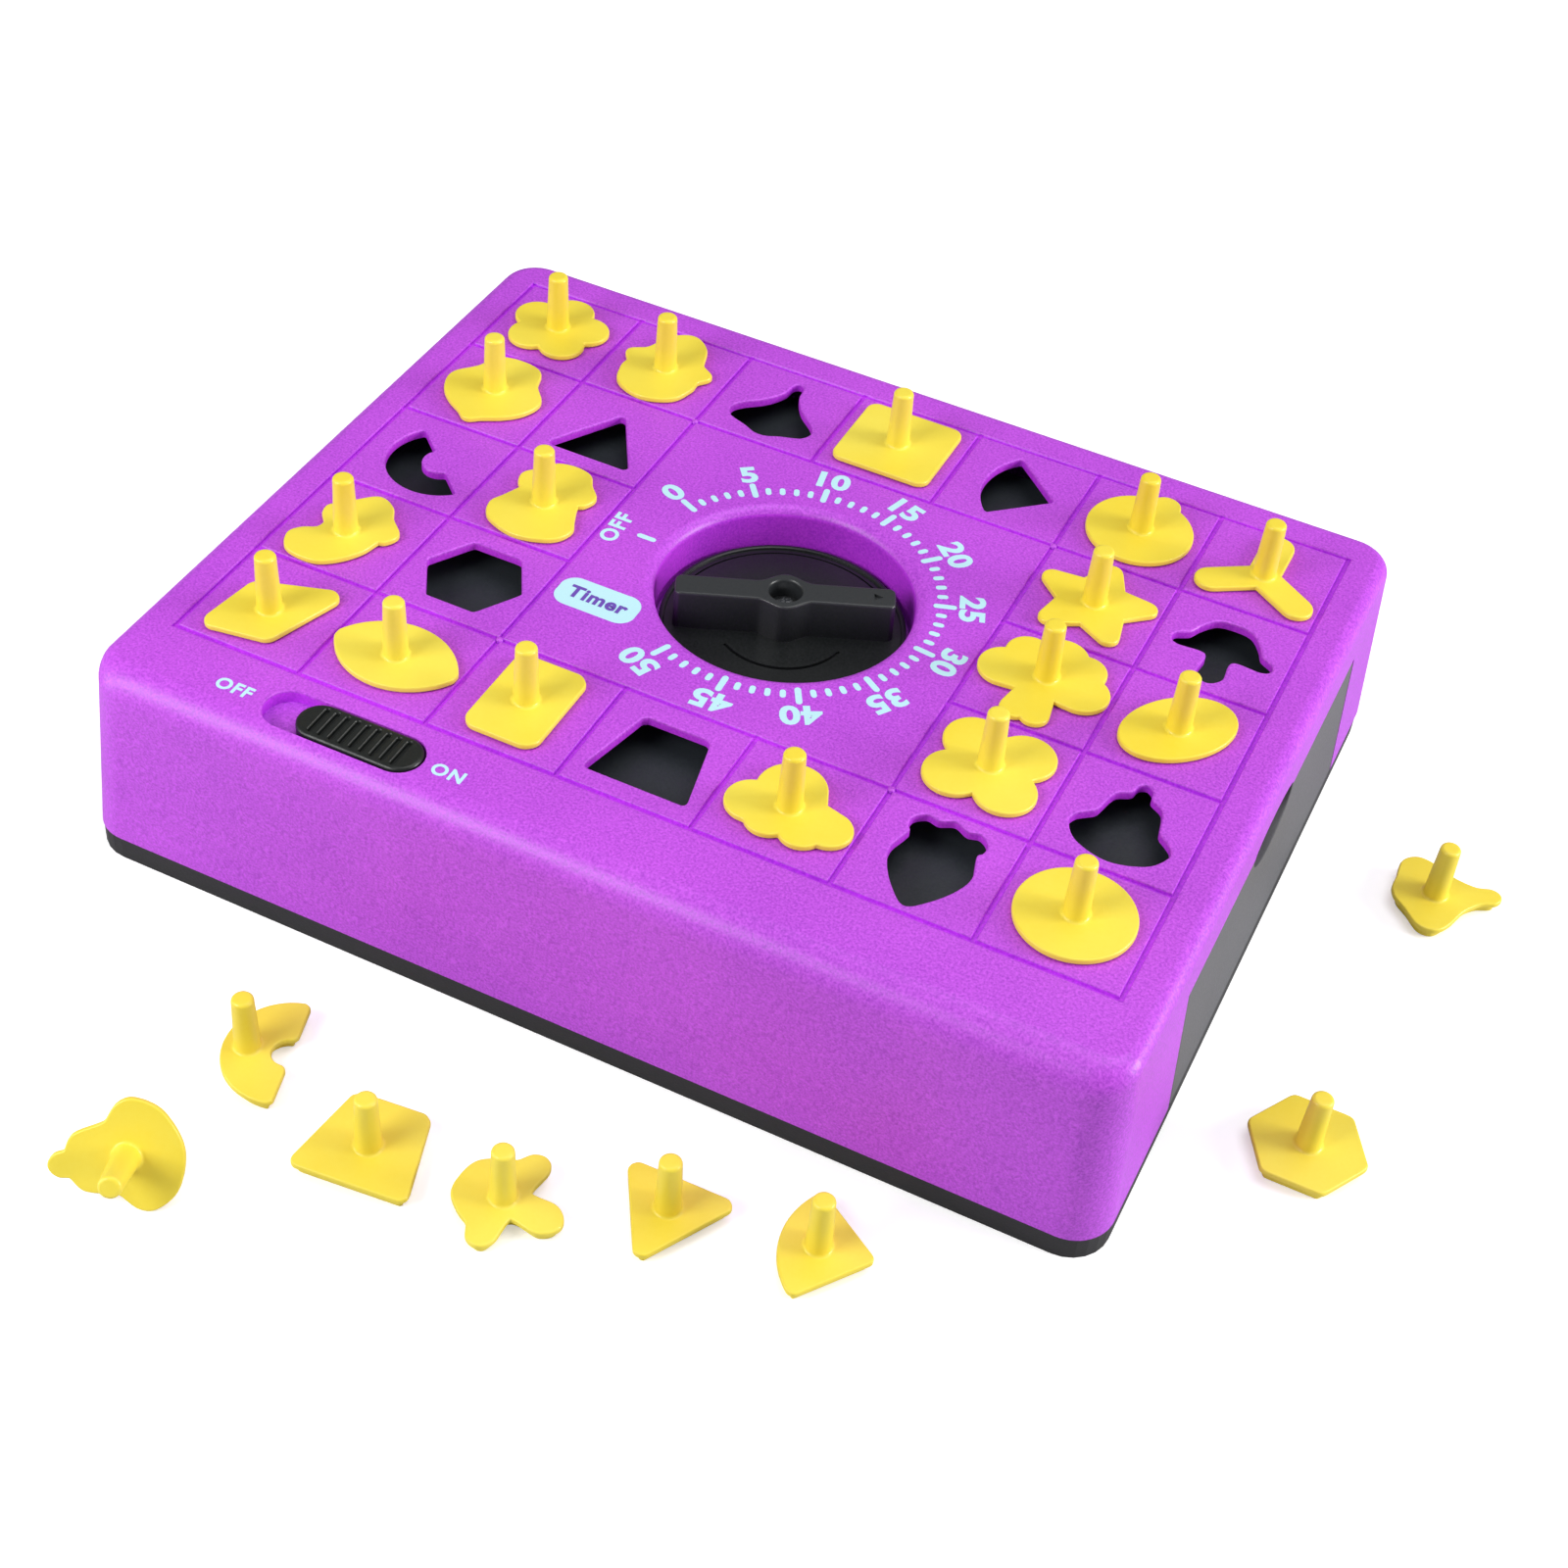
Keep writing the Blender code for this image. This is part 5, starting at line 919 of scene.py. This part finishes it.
def dial():
    top, foot = TOP - KNOB_DEPTH, TOP - KNOB_DEPTH - KNOB_THICKNESS
    rim = KNOB_RADIUS
    profile = [(rim - 0.3, foot), (rim, foot + 0.3), (rim, top + 0.2), (rim - 0.12, top + 0.48),
               (rim - 0.4, top + 0.6), (rim - 0.8, top + 0.6), (rim - 1.1, top + 0.4), (rim - 1.2, top),
               (9.0, top)]
    knob = mesh_object("dial_disc", stack([(circle(r, 128), z) for r, z in profile]))
    turn = Matrix.Rotation(math.radians(POINTER), 4, "Z")
    ridge = arc_band(14.0, 0.45, -146, -34)
    combine(knob, mesh_object("ridge", stack([(ridge, top - 0.5), (ridge, top + 0.22)]), turn), "UNION")
    for index, band in enumerate((arc_band(24.7, 0.22, 32, 144), arc_band(14.75, 0.28, -148, -32))):
        line = mesh_object(f"line_{index}", stack([(band, top - 0.5), (band, top + 1)]), turn)
        combine(knob, line, "DIFFERENCE")
    grip = grip_outline()
    bar_levels = [(eased(grip, 0.3), top - 0.5), (eased(grip, 0.12), top + 0.3), (grip, TOP - 0.7)]
    bar_levels += rounded_edge(lambda inset: eased(grip, -inset), 0.5, TOP, (0, 25, 50, 75, 90))
    combine(knob, mesh_object("bar", stack(bar_levels), turn), "UNION")
    well = [(circle(SHAFT_RADIUS + 0.15, 48), foot - 1), (circle(SHAFT_RADIUS + 0.15, 48), TOP - 4.8),
            (circle(1.2, 48), TOP - 4.8), (circle(1.2, 48), TOP - 4.5), (circle(3.6, 48), TOP - 4.5),
            (circle(3.65, 48), TOP - 0.5), (circle(3.75, 48), TOP - 0.2), (circle(4.05, 48), TOP + 0.1),
            (circle(4.05, 48), TOP + 1)]
    combine(knob, mesh_object("well", stack(well)), "DIFFERENCE")
    mark = [(21.3, 0), (19.3, 1.1), (19.3, -1.1)]
    combine(knob, mesh_object("mark", stack([(mark, TOP - 0.6), (mark, TOP + 1)]), turn), "DIFFERENCE")
    finished(soften(knob), "dial", DIAL_BLACK, ["dial_knob"])
    seat = TOP - 4.2
    head = mesh_object("dial_screw_head", stack([
        (circle(0.9, 32), seat - 1.2), (circle(0.9, 32), seat), (circle(2.1, 32), seat),
        (circle(2.1, 32), seat + 0.5), (circle(1.9, 32), seat + 0.95), (circle(1.4, 32), seat + 1.25),
        (circle(0.7, 32), seat + 1.4)]))
    for index, angle in enumerate((35, 125)):
        cross = mesh_object(f"cross_{index}", block(-1.3, 1.3, -0.25, 0.25, seat + 0.6, seat + 3),
                            Matrix.Rotation(math.radians(angle), 4, "Z"))
        combine(head, cross, "DIFFERENCE")
    finished(soften(head), "dial", STEEL, ["dial_screw"])


# Switch


def switch():
    x, y = SWITCH
    floor = TOP - SLOT_DEPTH
    centre = x + (SLOT_LENGTH - SLIDER_LENGTH) / 2 - GAP
    crest = TOP + SLIDER_RISE
    shape = stadium(SLIDER_LENGTH, SLIDER_WIDTH, (centre, y), 24)
    levels = [(shape, floor + GAP), (shape, crest - 0.8)]
    levels += rounded_edge(lambda inset: eased(shape, -inset), 0.8, crest, (20, 40, 60, 75, 90))
    slider = mesh_object("grooved_slider", stack(levels))
    cuts = []
    for k in range(GROOVES):
        middle = centre + GROOVE_PITCH * (k - (GROOVES - 1) / 2)
        line = turned(stadium(GROOVE_LENGTH, GROOVE_WIDTH, (0, 0), 6), 90, (middle, y))
        cuts.append(stack([(eased(line, -0.1), crest - GROOVE_DEPTH), (line, crest - 0.25),
                           (eased(line, 0.22), crest + 0.01), (eased(line, 0.22), crest + 2)]))
    combine(slider, mesh_object("grooves", joined(cuts)), "DIFFERENCE")
    finished(soften(slider), "switch", SWITCH_BLACK, ["switch_slider"])


# Drawer


def drawer():
    low, high, top = PANEL_FRONT + GAP, PANEL_BACK - GAP, PANEL_TOP - GAP
    notch = [(NOTCH_Y + NOTCH_HALF_WIDTH * math.cos(math.radians(a)),
              top - NOTCH_DEPTH * math.sin(math.radians(a))) for a in range(0, 181, 6)]
    outline = [(low, BAND_TOP + GAP), (high, BAND_TOP + GAP), (high, top)] + notch + [(low, top)]
    outline = grown(grown(np.array(densified(outline, 1.0)), -0.6), 0.6)
    outline = simplified(outline, TOLERANCE)
    levels = [(outline, 0), (outline, PANEL_THICKNESS - 0.4),
              (eased(outline, -0.12), PANEL_THICKNESS - 0.12), (eased(outline, -0.4), PANEL_THICKNESS)]
    verts, faces = stack(levels)
    verts = [(wall_x(z) - PANEL_THICKNESS + t, y, z) for y, z, t in verts]
    part = mesh_object("drawer_box", (verts, faces))
    y0, y1 = PANEL_FRONT + DRAWER_INSET, PANEL_BACK - DRAWER_INSET
    front, foot = wall_x(PANEL_TOP) - PANEL_THICKNESS, BAND_TOP + GAP
    tray = mesh_object("tray", block(DRAWER_BACK, front + PANEL_THICKNESS / 2, y0, y1, foot, DRAWER_TOP))
    hollow = mesh_object("hollow", block(DRAWER_BACK + DRAWER_WALL, front, y0 + DRAWER_WALL,
                                         y1 - DRAWER_WALL, foot + DRAWER_WALL, DRAWER_TOP + 5))
    combine(tray, hollow, "DIFFERENCE")
    combine(part, tray, "UNION")
    finished(soften(part), "drawer", GREY, ["storage_drawer"])


# Pieces


def piece_solid(name):
    """Piece about its stem's axis with the plug's underside at zero height; also the stem's place."""
    outline = shape_outline(name)
    at = np.array(STEMS[name]) * CELL if name in STEMS else centroid(outline)
    outline = outline - at

    def edge(amount):
        return simplified(grown(outline, amount), TOLERANCE)

    plug, flange = edge(-GAP), edge(LIP)
    top = PLUG + FLANGE
    levels = [(edge(-2 * GAP), 0), (plug, GAP), (plug, PLUG), (edge(LIP - 0.2), PLUG),
              (flange, PLUG + 0.2), (flange, top - 0.42)]
    levels += rounded_edge(lambda inset: edge(LIP - inset), 0.42, top, (45, 68, 90))
    levels += [(circle(STEM_FOOT_RADIUS + STEM_FLARE * (1 - math.sin(a)), 28),
                top + STEM_FLARE * (1 - math.cos(a))) for a in np.radians((0, 25, 50, 75, 90))]
    crown = PLUG + STEM_HEIGHT
    levels += rounded_edge(lambda inset: circle(STEM_TOP_RADIUS - inset, 28), 0.8, crown,
                           (0, 22, 45, 67, 85))
    return stack(levels), at


def bulb_matrix():
    turn_z, lift = (math.radians(a) for a in BULB_STEM_ANGLES)
    stem = Vector((math.cos(lift) * math.cos(turn_z), math.cos(lift) * math.sin(turn_z), math.sin(lift)))
    side = Vector((0, 0, 1)).cross(stem).normalized()
    up = stem.cross(side)
    turn = math.radians(BULB_TURN)
    across = side * math.cos(turn) + up * math.sin(turn)
    along = up * math.cos(turn) - side * math.sin(turn)
    return Matrix((across, along, stem)).transposed().to_4x4()


def pieces():
    for name in CELLS:
        if name == "strawberry":
            continue
        solid, at = piece_solid(name)
        if name in LOOSE:
            x, y, turn = LOOSE[name]
            matrix = (Matrix.Translation((x * CELL, y * CELL, 0))
                      @ Matrix.Rotation(math.radians(turn), 4, "Z"))
        elif name == "bulb":
            tilt = bulb_matrix()
            low = min((tilt @ Vector(v)).z for v in solid[0])
            matrix = Matrix.Translation((BULB_PLACE[0] * CELL, BULB_PLACE[1] * CELL, -low)) @ tilt
        else:
            x, y = cell_centre(name)
            matrix = Matrix.Translation((x + at[0], y + at[1], TOP + GAP - PLUG))
        part = mesh_object(f"{name}_shape", solid, matrix)
        finished(soften(part, 40), f"shape_{name}", YELLOW, [f"piece_{name}"])


def dress_inner_parts():
    """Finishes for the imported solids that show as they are."""
    for name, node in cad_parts.items():
        if node.hide_render:
            continue
        if name == "base_plate":
            look = BASE_BLACK
        elif name in ("ejector_plate", "switch_link", "trip_cam") or name.startswith("drawer_runner"):
            look = BLACK
        elif name in ("timer_plate_upper", "timer_plate_lower", "mainspring_barrel", "centre_wheel",
                      "third_wheel", "escape_wheel"):
            look = BRASS
        else:
            look = STEEL
        for place in node.material_slots:
            place.material = look


# Camera, light and floor


def place_camera():
    right = Vector(CAMERA_RIGHT).normalized()
    forward = Vector(CAMERA_FORWARD).normalized()
    up = right.cross(forward).normalized()
    forward = up.cross(right)
    placed = bpy.data.objects.new("camera", bpy.data.cameras.new("camera"))
    bpy.context.scene.collection.objects.link(placed)
    turn = Matrix((right, up, -forward)).transposed().to_4x4()
    placed.matrix_world = Matrix.Translation(CAMERA_PLACE) @ turn
    placed.data.sensor_width = SENSOR
    placed.data.lens = LENS
    placed.data.clip_start = 0.01
    bpy.context.scene.camera = placed


def lay_floor():
    """Pale floor that the camera sees as white paper, with the shadows on it."""
    reach, low = FLOOR_REACH, -FLOOR_DROP
    corners = [(-reach, -reach, low), (reach, -reach, low), (reach, reach, low), (-reach, reach, low)]
    plane = mesh_object("floor", (corners, [(0, 1, 2, 3)]))
    ground = Finish("pale_floor", 0.7)
    seen = ground.node("ShaderNodeLightPath", output="Is Camera Ray")
    paper = ground.blend(ground.noise(400, 1.0), linear(252, 252, 253), linear(248, 248, 249))
    ground.colour(ground.blend(seen, linear(190, 190, 192), paper))
    ground.feed(ground.shader.inputs["Emission Color"], ground.blend(seen, (0, 0, 0, 1), (1, 1, 1, 1)))
    ground.shader.inputs["Emission Strength"].default_value = 0.42
    plane.data.materials.append(ground.material)


def hang_lights():
    world = bpy.data.worlds.new("studio")
    bpy.context.scene.world = world
    world.use_nodes = True
    sky = world.node_tree.nodes["Background"].inputs
    sky["Color"].default_value = (1, 1, 1, 1)
    sky["Strength"].default_value = 0.22
    for name, (place, size, power) in LIGHTS.items():
        light = bpy.data.lights.new(name, "AREA")
        light.size = size
        light.energy = power
        lamp = bpy.data.objects.new(name, light)
        bpy.context.scene.collection.objects.link(lamp)
        lamp.location = place
        lamp.rotation_euler = (Vector(LIGHTS_AIM) - Vector(place)).to_track_quat("-Z", "Y").to_euler()
    bpy.context.scene.view_settings.view_transform = "Standard"


place_camera()
lay_floor()
hang_lights()
housing()
prints()
dial()
switch()
drawer()
pieces()
dress_inner_parts()
